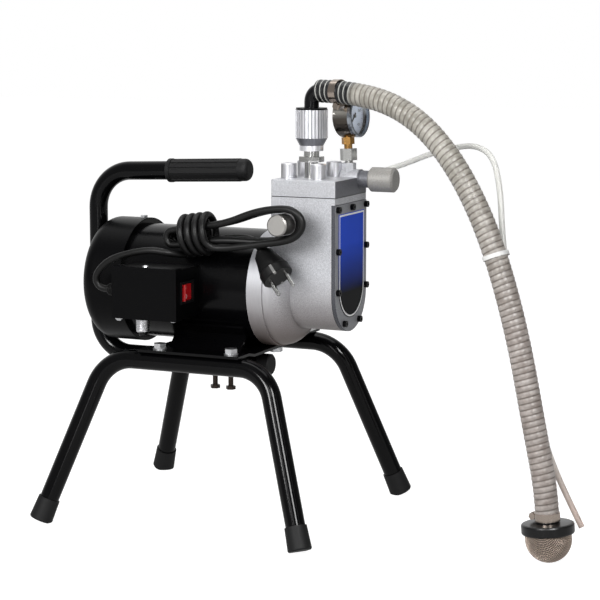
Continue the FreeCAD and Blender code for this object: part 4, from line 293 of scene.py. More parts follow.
def line_points(piece):
    """The points along a curve, read with its thickness off."""
    depth, piece.data.bevel_depth = piece.data.bevel_depth, 0.0
    line = drawn_mesh(piece)
    points = [vertex.co.copy() for vertex in line.vertices]
    bpy.data.meshes.remove(line)
    piece.data.bevel_depth = depth
    return points


def length_of(points):
    return sum((b - a).length for a, b in zip(points, points[1:]))


# %% [markdown]
# The mains lead leaves its gland, turns up, and is wound in a hank that hangs on the pressure
# knob: four wraps round the middle, then three long loops. The innermost loop sits close
# round the knob, and the outer ones hang further over its far side, as a hand leaves them.

# %% The hank's shape
CORD_OD = 0.008
KNOB = drawn(107.0, -72.0, 348.5)
HANK_TURN = math.radians(8.5)
HANK_LAYER, HANK_WAIST, HANK_LOOPS, HANK_END = 9.0, 8.6, 3, 132.8
HANK_INNER_RADIUS, HANK_RADIUS_STEP, HANK_NOSE_STEP = 17.0, 0.75, 6.0
NOSE_FOOT, WAIST_NEAR, WAIST_FAR, WAIST_BACK = 26, 66, 108, 72   # how far left of the knob
WRAP_START, WRAP_END, WRAP_RADIUS = 124.0, 88.0, 20.9
WRAP_FROM, WRAP_TO, POINT_ANGLE = 180, 1560, 30   # degrees round the hank
WRAP_TO_LOOPS = (WRAP_END - 10, -18.6, -13.4)
OUTSIDE = 1 / math.cos(math.radians(POINT_ANGLE / 2))   # a soft line cuts inside its points


def in_hank(left, up, out):
    """Millimetres left of the knob, above the hank's axis, and away from the near side."""
    x = -left * math.cos(HANK_TURN) - up * math.sin(HANK_TURN)
    z = -left * math.sin(HANK_TURN) + up * math.cos(HANK_TURN)
    return KNOB + Vector((x, out, z)) / 1000


def half_turn(middle, wide, tall, layer, side):
    """Six points round one end of a loop, from its foot to its top or back down."""
    turns = [math.radians(a) for a in range(POINT_ANGLE // 2, 180, POINT_ANGLE)]
    return [in_hank(middle + side * wide * OUTSIDE * math.sin(a),
                    side * tall * OUTSIDE * math.cos(a), layer) for a in turns]


def hank_points():
    points = []
    for degrees in range(WRAP_FROM, WRAP_TO + 1, POINT_ANGLE):
        angle = math.radians(degrees)
        left = WRAP_START - (WRAP_START - WRAP_END) * (degrees - WRAP_FROM) / (WRAP_TO - WRAP_FROM)
        points.append(in_hank(left, WRAP_RADIUS * OUTSIDE * math.cos(angle),
                              -WRAP_RADIUS * OUTSIDE * math.sin(angle)))
    points.append(in_hank(*WRAP_TO_LOOPS))
    for loop in range(HANK_LOOPS):
        outward, layer = HANK_LOOPS - 1 - loop, HANK_LAYER * (loop - 1)
        tall = HANK_INNER_RADIUS + HANK_RADIUS_STEP * outward
        nose = HANK_INNER_RADIUS + HANK_NOSE_STEP * outward
        points.append(in_hank(NOSE_FOOT, -tall, layer))
        points += half_turn(0, nose, tall, layer, -1)
        points.append(in_hank(NOSE_FOOT, tall, layer))
        points += [in_hank(left, HANK_WAIST, layer) for left in (WAIST_NEAR, WAIST_FAR)]
        points += half_turn(HANK_END, HANK_WAIST, HANK_WAIST, layer, 1)
        points += [in_hank(left, -HANK_WAIST, layer) for left in (WAIST_FAR, WAIST_BACK)]
    return points


# %% The mains lead
PLUG_CENTRE = drawn(92.0, -70.4, 302.7)
PLUG_AXIS = Vector((0.66, -0.28, -0.70)).normalized()
PLUG_REAR, PLUG_FACE = 0.0223, 0.0187   # from the plug's centre, behind it and ahead
STRAIGHT_IN = 0.005                     # the lead's last straight piece before the plug
lead_route = [(-100.0, -97.0, 268.0), (-110.5, -97.0, 268.0), (-116.5, -98.6, 278.0),
              (-111.5, -99.6, 289.5), (-95.5, -100.0, 303.0), (-69.0, -100.0, 311.5),
              (-43.0, -98.5, 316.0), (-22.0, -94.5, 312.5)]
tail_route = [(50.0, -57.0, 330.5), (62.0, -54.5, 328.5)]
plug_rear = PLUG_CENTRE - PLUG_AXIS * PLUG_REAR
cord_points = ([drawn(*p) for p in lead_route] + hank_points() + [drawn(*p) for p in tail_route]
               + [plug_rear - PLUG_AXIS * STRAIGHT_IN, plug_rear])
mains_lead = soft_line("mains_lead", cord_points, CORD_OD / 2)
lead_length = length_of(line_points(mains_lead))
print("mains lead", round(lead_length, 3), "m in", len(cord_points), "points")
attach(mains_lead, "machine")
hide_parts("mains_cord")

# %% [markdown]
# The return hose is a thin milky tube from the prime valve's side. It rises behind the knob,
# crosses to the near side, and is tied to the suction hose. Its bare end hangs beside the
# strainer, so it drips back into the same bucket.

# %% The return hose
RETURN_OD = 0.0065
return_route = [(151.0, 49.0, 390.5), (151.0, 64.0, 390.5), (167.0, 81.9, 399.5),
                (188.0, 88.7, 406.5), (209.0, 81.9, 414.5), (235.0, 60.0, 423.0),
                (268.0, 38.0, 431.5), (303.0, 12.0, 437.0), (329.0, -5.0, 427.0),
                (341.5, -17.0, 393.0), (348.5, -30.0, 352.0), (354.0, -36.5, 322.0),
                (363.0, -38.5, 285.0), (379.0, -42.0, 232.0), (392.0, -44.5, 178.0),
                (404.0, -46.0, 130.0), (419.0, -45.5, 92.0), (434.0, -45.0, 62.0),
                (448.3, -45.0, 35.3)]
return_points = [drawn(*p) for p in return_route]
return_tube = soft_line("return_tube", return_points, RETURN_OD / 2)
print("return hose", round(length_of(line_points(return_tube)), 3), "m")
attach(return_tube, "machine")
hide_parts("return_hose")

# %% [markdown]
# The suction hose is a thick clear wall over a steel wire spiral, and the wire lifts a low rib
# at each turn. A plain curve with a round bevel has no ribs, so the wall is lofted ring by
# ring along the hose's line: outside, then back through the bore, so that light really passes
# two skins. Each corner also stores its height on the rib and its distance along the hose, and
# the material reads both.

# %% The suction hose's line and wall
HOSE_OD, HOSE_PITCH, HOSE_WALL, HOSE_RIB = 0.025, 0.0064, 0.0022, 0.0005
HOSE_SIDES, RINGS_PER_RIB = 40, 8
NUT_AXIS = 110.8   # where the union nut's and the elbow's middle line stands, along X
plane_turn = math.radians(-12.72)
hose_route = [(11.0, 493.5), (66.5, 493.5), (134.2, 473.6), (188.5, 427.3), (235.1, 352.6),
              (271.6, 251.7), (298.1, 135.4), (312.0, 78.0), (314.5, 44.0)]


def in_hose_plane(reach, height):
    return drawn(NUT_AXIS + reach * math.cos(plane_turn), reach * math.sin(plane_turn), height)


hose_side = Vector((math.sin(plane_turn), -math.cos(plane_turn), 0))
hose_line = soft_line("hose_line", [in_hose_plane(*p) for p in hose_route])
hose_points = line_points(hose_line)
bpy.data.objects.remove(hose_line)
print("suction hose", round(length_of(hose_points), 3), "m")


def stations(points, step):
    """Places a step apart along a line: each a point and the direction there."""
    marks, travelled, wanted = [], 0.0, 0.0
    for a, b in zip(points, points[1:]):
        reach = (b - a).length
        while reach > 0 and wanted <= travelled + reach + 1e-9:
            marks.append((a.lerp(b, (wanted - travelled) / reach), (b - a).normalized()))
            wanted += step
        travelled += reach
    return marks


def as_mesh(name, made):
    """Turn the faces of a shape outward and keep it as a mesh."""
    bmesh.ops.recalc_face_normals(made, faces=made.faces)
    mesh = bpy.data.meshes.new(name)
    made.to_mesh(mesh)
    made.free()
    print(name, len(mesh.polygons), "faces")
    return mesh


def hose_wall():
    marks = list(enumerate(stations(hose_points, HOSE_PITCH / RINGS_PER_RIB)))
    rings = [(k, mark, True) for k, mark in marks]
    rings += [(k, mark, False) for k, mark in reversed(marks)]
    made = bmesh.new()
    along = made.verts.layers.float.new("along_mm")
    lift = made.verts.layers.float.new("rib")
    rows = []
    for k, (point, direction), outside in rings:
        up = direction.cross(hose_side).normalized()
        row = []
        for i in range(HOSE_SIDES):
            rib = 0.5 - 0.5 * math.cos(2 * math.pi * (k / RINGS_PER_RIB - i / HOSE_SIDES))
            radius = HOSE_OD / 2 + HOSE_RIB * rib if outside else HOSE_OD / 2 - HOSE_WALL
            turn = 2 * math.pi * i / HOSE_SIDES
            spoke = hose_side * math.cos(turn) + up * math.sin(turn)
            corner = made.verts.new(point + radius * spoke)
            corner[along], corner[lift] = k * HOSE_PITCH * 1000 / RINGS_PER_RIB, rib
            row.append(corner)
        rows.append(row)
    for low, high in zip(rows, rows[1:] + rows[:1]):
        for i in range(HOSE_SIDES):
            j = (i + 1) % HOSE_SIDES
            made.faces.new((low[i], low[j], high[j], high[i])).smooth = True
    return as_mesh("ribbed_hose", made)


ribbed_hose = shown("ribbed_hose", hose_wall())
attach(ribbed_hose, "machine")
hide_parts("suction_hose")

# %% [markdown]
# What repeats or follows a path is grown by Geometry Nodes. A tree takes a line or a point and
# a few named sizes, and its result is kept as a plain mesh, so the wire, the net and the ticks
# can be made again at another size by changing one number.

# %% Trees that grow from a line
def new_tree(name, sizes):
    """A node tree with geometry and named sizes going in, and geometry coming out."""
    tree = bpy.data.node_groups.new(name, "GeometryNodeTree")
    tree.interface.new_socket("Geometry", in_out="INPUT", socket_type="NodeSocketGeometry")
    for size in sizes:
        tree.interface.new_socket(size, in_out="INPUT", socket_type="NodeSocketFloat")
    tree.interface.new_socket("Geometry", in_out="OUTPUT", socket_type="NodeSocketGeometry")
    return tree, tree.nodes.new("NodeGroupInput").outputs


def geo(tree, kind, wires=None, **options):
    """Add one geometry node and give what it makes."""
    return add(tree, "GeometryNode" + kind, wires, **options).outputs[0]


def close_tree(tree, geometry, material):
    """Make instances real, give them their finish, and send them out."""
    real = geo(tree, "RealizeInstances", {"Geometry": geometry})
    dressed = geo(tree, "SetMaterial", {"Geometry": real, "Material": material})
    add(tree, "NodeGroupOutput", {"Geometry": dressed})


def grown(name, points, tree, **sizes):
    """Run a tree on a line of points and keep what it makes as a plain mesh."""
    seed = bpy.data.meshes.new(name + "_seed")
    edges = [(i, i + 1) for i in range(len(points) - 1)]
    seed.from_pydata([tuple(p) for p in points], edges, [])
    piece = shown(name + "_seed", seed)
    modifier = piece.modifiers.new("grow", "NODES")
    modifier.node_group = tree
    for socket in tree.interface.items_tree:
        if socket.in_out == "INPUT" and socket.name in sizes:
            modifier[socket.identifier] = float(sizes[socket.name])
    mesh = drawn_mesh(piece)
    bpy.data.objects.remove(piece)
    mesh.name = name
    print(name, len(mesh.polygons), "faces")
    return shown(name, mesh)


# %% [markdown]
# Turned and plated steel comes next, because the wire needs it. Bare steel shows its tool marks
# as a faint change of gloss. Real marks are too fine for the picture, so they are drawn about
# half a millimetre across. A lamp draws one bright band down each round part, and its sides
# stay dark. The stand's bolts are bright on top, and painted dark under the rail: painted shade.

# %% Machined steel, zinc, brass and nickel
TOOL_MARK_MM = 0.6
BOLT_HEADS = 0.012   # how far below the leg tube's highest point the bolts are still bright


def machined(name, colour, roughness):
    material, tree, shader, place = surface(name, colour, Metallic=1.0)
    mottle = grain(tree, place, TOOL_MARK_MM, 4.0)
    feed(tree, shader, Roughness=between(tree, mottle, roughness - 0.08, roughness + 0.1))
    roughen(tree, shader, mottle, 0.01, 0.15)
    return material


steel = machined("machined_steel", "dcdce0", 0.3)
zinc = machined("zinc_plate", "c9cacc", 0.34)
dress(steel, "motor_bearings", "motor_shaft", "crank_eccentric", "pump_piston", "piston_sleeve",
      "head_bolts", "inlet_poppet", "outlet_ball", "outlet_fittings")
dress(zinc, "case_screws", "piston_spring", "inlet_spring")
stand, tree, shader, place = surface("stand_bolt_steel", "c9cacc", Metallic=1.0, Roughness=0.32)
# Under the rail the bolts' colour is painted dark: painted shade where the rail hides the lamps.
rail_shade = worked(tree, "LESS_THAN", split(tree, place)["Z"],
               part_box("near_leg_tube")[1][2] - BOLT_HEADS)
feed(tree, shader, Base_Color=blended(tree, rail_shade, "c9cacc", "3b3531"))
roughen(tree, shader, grain(tree, place, TOOL_MARK_MM), 0.02, 0.3)
dress(stand, "stand_bolts")
plain = machined("plain_steel", "bcbcba", 0.18)
dress(plain, "suction_fitting", "gauge_adaptor", "plug_pins")
dress(machined("clamp_band", "a89c92", 0.16), "hose_clamps")
dress(machined("turned_brass", "b4884e", 0.2), "gauge_socket")
dress(machined("polished_neck", "dadadc", 0.2), "reset_neck")
dress(machined("black_oxide", "161617", 0.35), "cover_screws")
dress(machined("lamination_steel", "5a5a5c", 0.5), "stator_core", "rotor_core")
dress(machined("enamelled_copper", "9c5a2a", 0.35), "stator_windings")

# %% [markdown]
# The hose's wire is a spring of hard steel about a millimetre thick, cast into the wall. It
# could be a bevelled curve with thousands of pasted points. Here the tree resamples the hose's
# own line, turns a point once a pitch round it, and sweeps a small circle along that.

# %% The wire spiral
WIRE_RADIUS, WIRE_DEPTH = 0.00045, 0.0009   # its own, and its middle's depth in the wall
POINTS_PER_TURN = 16.0
tree, given = new_tree("wire_spiral", ("Pitch", "Radius", "Wire"))
step = worked(tree, "DIVIDE", given["Pitch"], POINTS_PER_TURN)
line = geo(tree, "MeshToCurve", {"Mesh": given["Geometry"]})
line = geo(tree, "ResampleCurve", {"Curve": line, "Length": step}, mode="LENGTH")
reach = add(tree, "GeometryNodeSplineParameter").outputs["Length"]
turn = worked(tree, "MULTIPLY", worked(tree, "DIVIDE", reach, given["Pitch"]), 2 * math.pi)
normal = geo(tree, "InputNormal")
aside = steered(tree, "CROSS_PRODUCT", {0: normal, 1: geo(tree, "InputTangent")})
swings = []
for arm, kind in ((normal, "COSINE"), (aside, "SINE")):
    size = worked(tree, "MULTIPLY", worked(tree, kind, turn), given["Radius"])
    swings.append(steered(tree, "SCALE", {0: arm, "Scale": size}))
offset = steered(tree, "ADD", {0: swings[0], 1: swings[1]})
coil = geo(tree, "SetPosition", {"Geometry": line, "Offset": offset})
ring = geo(tree, "CurvePrimitiveCircle", {"Resolution": 6, "Radius": given["Wire"]})
close_tree(tree, geo(tree, "CurveToMesh", {"Curve": coil, "Profile Curve": ring}), steel)
hose_wire = grown("hose_wire", hose_points, tree, Pitch=HOSE_PITCH,
                  Radius=HOSE_OD / 2 - WIRE_DEPTH, Wire=WIRE_RADIUS)
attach(hose_wire, "machine")

# %% [markdown]
# The strainer is a dome of woven wire under a black disc. Cloth that is pressed to a dome keeps
# its wires an even distance apart along the surface, so the tree lays a flat grid and bends it
# over: each crossing keeps its distance from the middle, measured along the dome and then up
# a short straight skirt. Inside it a nearly solid dark sheet stands for the shade in the dome:
# painted shade, seen through the net's gaps.

# %% The strainer's net
tree, given = new_tree("woven_dome", ("Dome", "Skirt", "Cell", "Wire"))
quarter = worked(tree, "MULTIPLY", given["Dome"], math.pi / 2)
rim = worked(tree, "ADD", quarter, given["Skirt"])
across = worked(tree, "MULTIPLY", rim, 2.0)
count = worked(tree, "ROUND", worked(tree, "DIVIDE", across, given["Cell"]))
cloth = geo(tree, "MeshGrid", {"Size X": across, "Size Y": across,
                               "Vertices X": count, "Vertices Y": count})
flat = geo(tree, "InputPosition")
away = steered(tree, "LENGTH", {0: flat}, "Value")
bend = worked(tree, "DIVIDE", worked(tree, "MINIMUM", away, quarter), given["Dome"])
parts = split(tree, flat)
shrink = worked(tree, "DIVIDE", worked(tree, "MULTIPLY", worked(tree, "SINE", bend), given["Dome"]),
                worked(tree, "MAXIMUM", away, 1e-6))
depth = worked(tree, "MULTIPLY", worked(tree, "COSINE", bend),
               worked(tree, "MULTIPLY", given["Dome"], -1.0))
risen = worked(tree, "MAXIMUM", worked(tree, "SUBTRACT", away, quarter), 0.0)
domed = add(tree, "ShaderNodeCombineXYZ", {"X": worked(tree, "MULTIPLY", parts["X"], shrink),
                                           "Y": worked(tree, "MULTIPLY", parts["Y"], shrink),
                                           "Z": worked(tree, "ADD", depth, risen)}).outputs[0]
outside = worked(tree, "GREATER_THAN", away, rim)
cloth = geo(tree, "DeleteGeometry", {"Geometry": cloth, "Selection": outside})
cloth = geo(tree, "SetPosition", {"Geometry": cloth, "Position": domed})
threads = geo(tree, "MeshToCurve", {"Mesh": cloth})
ring = geo(tree, "CurvePrimitiveCircle", {"Resolution": 5, "Radius": given["Wire"]})
close_tree(tree, geo(tree, "CurveToMesh", {"Curve": threads, "Profile Curve": ring}),
           machined("woven_steel", "a8998d", 0.3))
strainer_net = grown("strainer_net", [(0, 0, 0)], tree, Dome=0.0246, Skirt=0.0075,
                     Cell=0.0023, Wire=0.0004)

# %% [markdown]
# The disc is moulded with a rounded rim that guards the net, and a barb that the hose is pushed
# over. It is a turned shape, so a half section spun round the axis gives it exactly. The dark
# sheet of painted shade inside the net is spun too, and its weave is colour alone, drawn at
# about half a millimetre to show.

# %% The strainer's disc and the dark sheet of painted shade inside its net
LINING_RADIUS, DISC_FOOT = 23.2, 6.5   # millimetres
NET_HEIGHT = 0.025                     # the dome's middle above the floor


def spun(name, section, material):
    """A closed turned piece from (radius, height) pairs in millimetres, about Z."""
    made = bmesh.new()
    spots = [made.verts.new((radius / 1000, 0, height / 1000)) for radius, height in section]
    edges = [made.edges.new(pair) for pair in zip(spots, spots[1:])]
    bmesh.ops.spin(made, geom=spots + edges, cent=(0, 0, 0), axis=(0, 0, 1), steps=64,
                   angle=2 * math.pi, use_duplicate=False)
    bmesh.ops.remove_doubles(made, verts=made.verts, dist=1e-6)
    mesh = as_mesh(name, made)
    mesh.materials.append(material)
    return shown(name, mesh)


disc_black, tree, shader, place = surface("polished_black", "0a0a0b", Roughness=0.3,
                                          Specular_IOR_Level=0.3)
roughen(tree, shader, grain(tree, place, 3.0), 0.02, 0.2)
disc_section = [(0, DISC_FOOT), (26.6, DISC_FOOT), (27.9, 7.0), (28.5, 8.2), (28.5, 16.0),
                (27.9, 17.3), (26.4, 18.0), (14.0, 18.8), (12.9, 19.3), (12.6, 20.2),
                (9.3, 20.2), (9.3, 32.0), (0, 32.0)]
strainer_disc = spun("strainer_disc", disc_section, disc_black)
# A dark sheet inside the net, painted shade that shows through the gaps in the wire.
shade_liner_material, tree, shader, place = surface("shade_liner", "14100e", Roughness=0.5)
weave = add(tree, "ShaderNodeTexVoronoi", {"Vector": place, "Scale": 1600.0}).outputs["Distance"]
feed(tree, shader, Base_Color=blended(tree, weave, "241d19", "0d0a09"))
bowl = [(LINING_RADIUS * math.sin(math.radians(a)), -LINING_RADIUS * math.cos(math.radians(a)))
        for a in range(0, 91, 6)]
shade_liner = spun("shade_liner", bowl + [(LINING_RADIUS, DISC_FOOT), (0, DISC_FOOT)], shade_liner_material)
hose_down = (hose_points[-1] - hose_points[-2]).normalized()
net_middle = hose_points[-1] + hose_down * ((hose_points[-1].z - NET_HEIGHT) / -hose_down.z)
tip = Vector((0, 0, -1)).rotation_difference(hose_down).to_matrix().to_4x4()
for piece in (strainer_net, strainer_disc, shade_liner):
    piece.data.transform(Matrix.Translation(net_middle) @ tip)
    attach(piece, "machine")
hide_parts("strainer_mesh")
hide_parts("strainer_body")

# %% [markdown]
# Rubber sleeves have ribs moulded round them so that they bend evenly, and the reset button's
# neck has turned grips. Each is a row of rings along a short line, from one size to another.

# %% Rows of rings
def ring_rows(name, start, end, count, first, last, rib, material):
    tree, given = new_tree(name + "_rows", ("Count", "First", "Last", "Rib"))
    row = geo(tree, "MeshToCurve", {"Mesh": given["Geometry"]})
    row = geo(tree, "ResampleCurve", {"Curve": row, "Count": given["Count"]})
    share = add(tree, "GeometryNodeSplineParameter").outputs["Factor"]
    size = between(tree, share, given["First"], given["Last"])
    thick = worked(tree, "DIVIDE", given["Rib"], given["First"])
    loop = geo(tree, "CurvePrimitiveCircle", {"Resolution": 40, "Radius": 1.0})
    ring = geo(tree, "CurvePrimitiveCircle", {"Resolution": 8, "Radius": thick})
    ridge = geo(tree, "CurveToMesh", {"Curve": loop, "Profile Curve": ring})
    ridge = geo(tree, "SetShadeSmooth", {"Geometry": ridge})
    facing = add(tree, "FunctionNodeAlignRotationToVector",
                 {"Vector": geo(tree, "InputTangent")}, axis="Z").outputs[0]
    rows = geo(tree, "InstanceOnPoints", {"Points": row, "Instance": ridge,
                                          "Rotation": facing, "Scale": size})
    close_tree(tree, rows, material)
    piece = grown(name, (start, end), tree, Count=count, First=first, Last=last, Rib=rib)
    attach(piece, "machine")
    return piece


# %% [markdown]
# Moulded rubber and plastics are matte where a hand or a floor meets them and glossy where they
# come off a polished mould. Their moulded grain breaks up the highlight. The real grain is
# too fine for the picture, so it is drawn at half a millimetre or more.

# %% Rubber and plastic
def moulded(name, colour, roughness, grain_mm=0.5, depth_mm=0.03):
    material, tree, shader, place = surface(name, colour, Roughness=roughness,
                                            Specular_IOR_Level=0.25)
    skin = grain(tree, place, grain_mm)
    feed(tree, shader, Roughness=between(tree, skin, roughness - 0.05, roughness + 0.05))
    roughen(tree, shader, skin, depth_mm, 0.5)
    return material


dress(moulded("moulded_rubber", "0b0b0c", 0.6, 0.9, 0.05), "rubber_caps", "handle_grip",
      "pump_seals")
jacket = moulded("cord_jacket", "090909", 0.45, 0.8, 0.03)
dress(jacket, "plug_body", "cord_gland")
mains_lead.data.materials.append(jacket)
dress(moulded("black_plastic", "101011", 0.32), "rocker_frame", "run_capacitor", "reset_button",
      "cooling_fan")
dress(moulded("polished_nylon", "08080b", 0.16, 1.5, 0.01), "suction_elbow")
dress(moulded("white_nylon", "ececea", 0.4), "cable_tie")
dress(moulded("needle_enamel", "0c0c0c", 0.35), "gauge_needle")
dress(machined("satin_knob", "9c9a97", 0.45), "pressure_knob")
ring_rows("gland_ribs", drawn(-87, -97, 268), drawn(-98, -97, 268), count=6,
                  first=0.0085, last=0.0062, rib=0.0009, material=jacket)
ring_rows("plug_ribs", PLUG_CENTRE - PLUG_AXIS * 0.0212, PLUG_CENTRE - PLUG_AXIS * 0.0165,
                  count=3, first=0.0056, last=0.0085, rib=0.0008, material=jacket)
ring_rows("neck_grips", drawn(-57, -95, 223.5), drawn(-57, -95, 235), count=7,
                  first=0.0073, last=0.0073, rib=0.0006, material=steel)

# %% [markdown]
# A plug of this kind has a sprung earth strip down each side, halfway between its pins. Each is
# a narrow bent strip that lies in the body's side and turns in over its face.

# %% The plug's earth strips
def bent_strip(name, outline, width, origin, ahead, out):
    """A strip of bent sheet: an outline of (ahead, out) pairs in millimetres, and its width."""
    across = ahead.cross(out)
    made = bmesh.new()
    rows = [[made.verts.new(origin + (ahead * a + out * o + across * side * width / 2) / 1000)
             for a, o in outline] for side in (-1, 1)]
    made.faces.new(rows[0])
    made.faces.new(rows[1][::-1])
    for i in range(len(outline)):
        j = (i + 1) % len(outline)
        made.faces.new((rows[0][i], rows[1][i], rows[1][j], rows[0][j]))
    mesh = as_mesh(name, made)
    mesh.materials.append(plain)
    piece = shown(name, mesh)
    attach(piece, "machine")


STRIP_WIDTH = 3.0
STRIP_OUTLINE = [(-10.5, 18.3), (-1, 18.3), (0.5, 17.2), (0.5, 13.5), (-0.2, 13.5),
                 (-0.2, 16.6), (-1.2, 17.5), (-10.5, 17.5)]
PIN_TO_PIN = Vector((0.70, 0.41, 0.58))
pin_line = (PIN_TO_PIN - PLUG_AXIS * PIN_TO_PIN.dot(PLUG_AXIS)).normalized()
plug_face = PLUG_CENTRE + PLUG_AXIS * PLUG_FACE
for number, side in enumerate((-1, 1)):
    bent_strip("earth_strip_%d" % number, STRIP_OUTLINE, STRIP_WIDTH, plug_face, PLUG_AXIS,
               PLUG_AXIS.cross(pin_line) * side)

# %% [markdown]
# The stand, the motor's shell and its cowl are pressed steel under a gloss black powder coat.
# It is deeper black than any plastic, with a faint orange peel two millimetres across that
# only shows at the edge of a highlight. The tubes are glossier than the motor.

# %% Powder coat
def powder_coat(name, level, roughness, *names):
    coat, tree, shader, place = surface(name, "050506", Roughness=roughness,
                                        Specular_IOR_Level=level)
    roughen(tree, shader, grain(tree, place, 2.2), 0.05, 0.3)
    dress(coat, *names)


powder_coat("tube_coat", 0.16, 0.13, "near_leg_tube", "far_leg_tube", "handle_tube", "handle_clamp",
            "motor_cradle")
powder_coat("motor_coat", 0.12, 0.2, "motor_shell", "rear_end_shield")
powder_coat("cowl_coat", 0.08, 0.3, "fan_cowl", "switch_box")

# %% [markdown]
# The pump is sand cast aluminium, blasted to an even pale grey, some grains darker than others.
# Real grains and turning marks are too fine for the picture, so both are drawn at half a
# millimetre or more. The barrel is turned where it meets the motor, so there the grain gives
# way to rings. Low down it is painted browner and darker: painted shade on the casting's
# underside. A plain grey would look like plastic.

# %% Blasted and turned casting
SPECKLE = (0.36, 0.64)   # the part of the noise that is stretched from dark to light
# Below these heights the casting's colour is painted browner and darker: painted shade.
UNDERSIDE_SHADE = (0.2, 0.29)      # metres above the floor: browner below, clean above


def blasted(name, light, dark, grain_mm, roughness, turned_to=None):
    material, tree, shader, place = surface(name, light, Metallic=0.2)
    speckle = grain(tree, place, grain_mm, 3.0)
    if turned_to is not None:
        lathe = steered(tree, "MULTIPLY", {0: place, 1: (1, 0.03, 0.03)})
        rings = between(tree, grain(tree, lathe, 0.5), 0.4, 0.6)
        on_barrel = between(tree, split(tree, place)["X"], 1, 0, turned_to, turned_to + 0.004)
        speckle = add(tree, "ShaderNodeMix", {0: on_barrel, 2: speckle, 3: rings}).outputs[0]
    colour = blended(tree, between(tree, speckle, 0, 1, *SPECKLE), dark, light)
    if turned_to is not None:
        # Low down the colour turns browner and darker: painted shade on the underside.
        underside_shaded = between(tree, split(tree, place)["Z"], 1.0, 0, *UNDERSIDE_SHADE)
        colour = blended(tree, underside_shaded, colour, "6a5b54")
    feed(tree, shader, Base_Color=colour)
    feed(tree, shader, Roughness=between(tree, speckle, roughness - 0.08, roughness + 0.12))
    roughen(tree, shader, speckle, 0.1, 0.6)
    return material


dress(blasted("blasted_casting", "d2d3d7", "a6a7ac", 0.8, 0.42, turned_to=0.0885 + SHIFT),
      "pump_housing")
dress(blasted("blasted_knob", "a4a29e", "868480", 0.7, 0.5), "prime_valve_knob")

# %% [markdown]
# The head and the front cover are the same casting, milled on their front faces. The head's
# front is painted darker than its blasted sides: painted shade on the face turned away from the
# key lamp. Its gasket shows as a black line along its foot. The cover's edge is painted dark,
# painted shade that draws a line round the pump's front. Where a point lies along X tells a
# face from an edge.

# %% The head and the front cover
SEAM = 0.0009   # how high the black line at a piece's foot is


def faced(name, front_mm, sides, front, piece):
    material, tree, shader, place = surface(name, sides[0], Metallic=0.2, Roughness=0.44,
                                            Specular_IOR_Level=0.25)
    speckle = grain(tree, place, 0.8, 3.0)
    sharper = between(tree, speckle, 0, 1, *SPECKLE)
    spot = split(tree, place)
    # Ahead of front_mm a piece takes its front colours, elsewhere its side colours; the darker of
    # the two is painted shade.
    ahead = worked(tree, "GREATER_THAN", spot["X"], drawn(front_mm, 0, 0).x)
    colour = blended(tree, ahead, blended(tree, sharper, *sides), blended(tree, sharper, *front))
    seam = worked(tree, "LESS_THAN", spot["Z"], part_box(piece)[0][2] + SEAM)
    feed(tree, shader, Base_Color=blended(tree, seam, colour, "1b1b1c"))
    roughen(tree, shader, speckle, 0.08, 0.6)
    dress(material, piece)


# The head's darker front colours and the cover's dark edge colours are painted shade.
faced("head_shaded_front", 159.3, ("a6a7ab", "cacbcf"), ("5c5d62", "7c7d82"), "head_block")
faced("cover_shaded_edge", 159.7, ("3f4045", "5a5b60"), ("86878b", "a2a3a7"), "front_cover")

# %% [markdown]
# The union nut is one turned part with three looks: bright flutes that a hand grips, a duller
# cone under them, and a black rubber ring on top. The flutes are cut in the solid, so only the
# colour changes, with height and with the angle round the nut, darker in the grooves as painted
# shade.

# %% The union nut
CONE_FOOT, FLUTES_FOOT, RING_FOOT, FLUTES = 432.0, 440.6, 472.4, 30.0
nut, tree, shader, place = surface("fluted_nut", "e4e4e8", Metallic=0.85)
spot = split(tree, place)
height = worked(tree, "MULTIPLY", spot["Z"], 1000.0)
cone = worked(tree, "MULTIPLY", worked(tree, "GREATER_THAN", height, CONE_FOOT),
              worked(tree, "LESS_THAN", height, FLUTES_FOOT))
top_ring = worked(tree, "GREATER_THAN", height, RING_FOOT)
off_axis = worked(tree, "SUBTRACT", spot["X"], drawn(NUT_AXIS, 0, 0).x)
wave = worked(tree, "COSINE", worked(tree, "MULTIPLY",
                                     worked(tree, "ARCTAN2", spot["Y"], off_axis), FLUTES))
# The grooves between the flutes are painted darker: painted shade.
groove_shade = worked(tree, "MULTIPLY", worked(tree, "GREATER_THAN", height, FLUTES_FOOT),
                between(tree, wave, 1, 0, -0.9, -0.5))
metal = blended(tree, groove_shade, blended(tree, cone, "ececf0", "8d8e94"), "94959b")
colour = blended(tree, top_ring, metal, "0b0b0d")
feed(tree, shader, Base_Color=colour)
feed(tree, shader, Roughness=between(tree, grain(tree, place, 0.5, 3.0), 0.24, 0.42))
dress(nut, "union_nut")

# %% [markdown]
# The switch is polished red plastic. Its two marks, a bar and a ring, are printed pale on the
# face: they mean on and off on any machine.

# %% The switch
RING_RADIUS, RING_LINE = 0.0022, 0.00035   # the ring, and half its line's width
BAR_WIDTH, BAR_LENGTH = 0.0004, 0.0024     # half the bar's
red, tree, shader, place = surface("red_polycarbonate", "b8141a", Roughness=0.2)
low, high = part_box("rocker")
spot = split(tree, place)
middle_y, middle_z = (low[1] + high[1]) / 2, (low[2] + high[2]) / 2
quarter = (high[2] - low[2]) / 4
from_ring = distance(tree, worked(tree, "SUBTRACT", spot["Y"], middle_y),
                     worked(tree, "SUBTRACT", spot["Z"], middle_z - quarter))
ring = near(tree, from_ring, RING_RADIUS, RING_LINE)
bar = worked(tree, "MULTIPLY", near(tree, spot["Y"], middle_y, BAR_WIDTH),
             near(tree, spot["Z"], middle_z + quarter, BAR_LENGTH))
marked = worked(tree, "MAXIMUM", ring, bar)
feed(tree, shader, Base_Color=blended(tree, marked, "b8141a", "e9dcd8"))
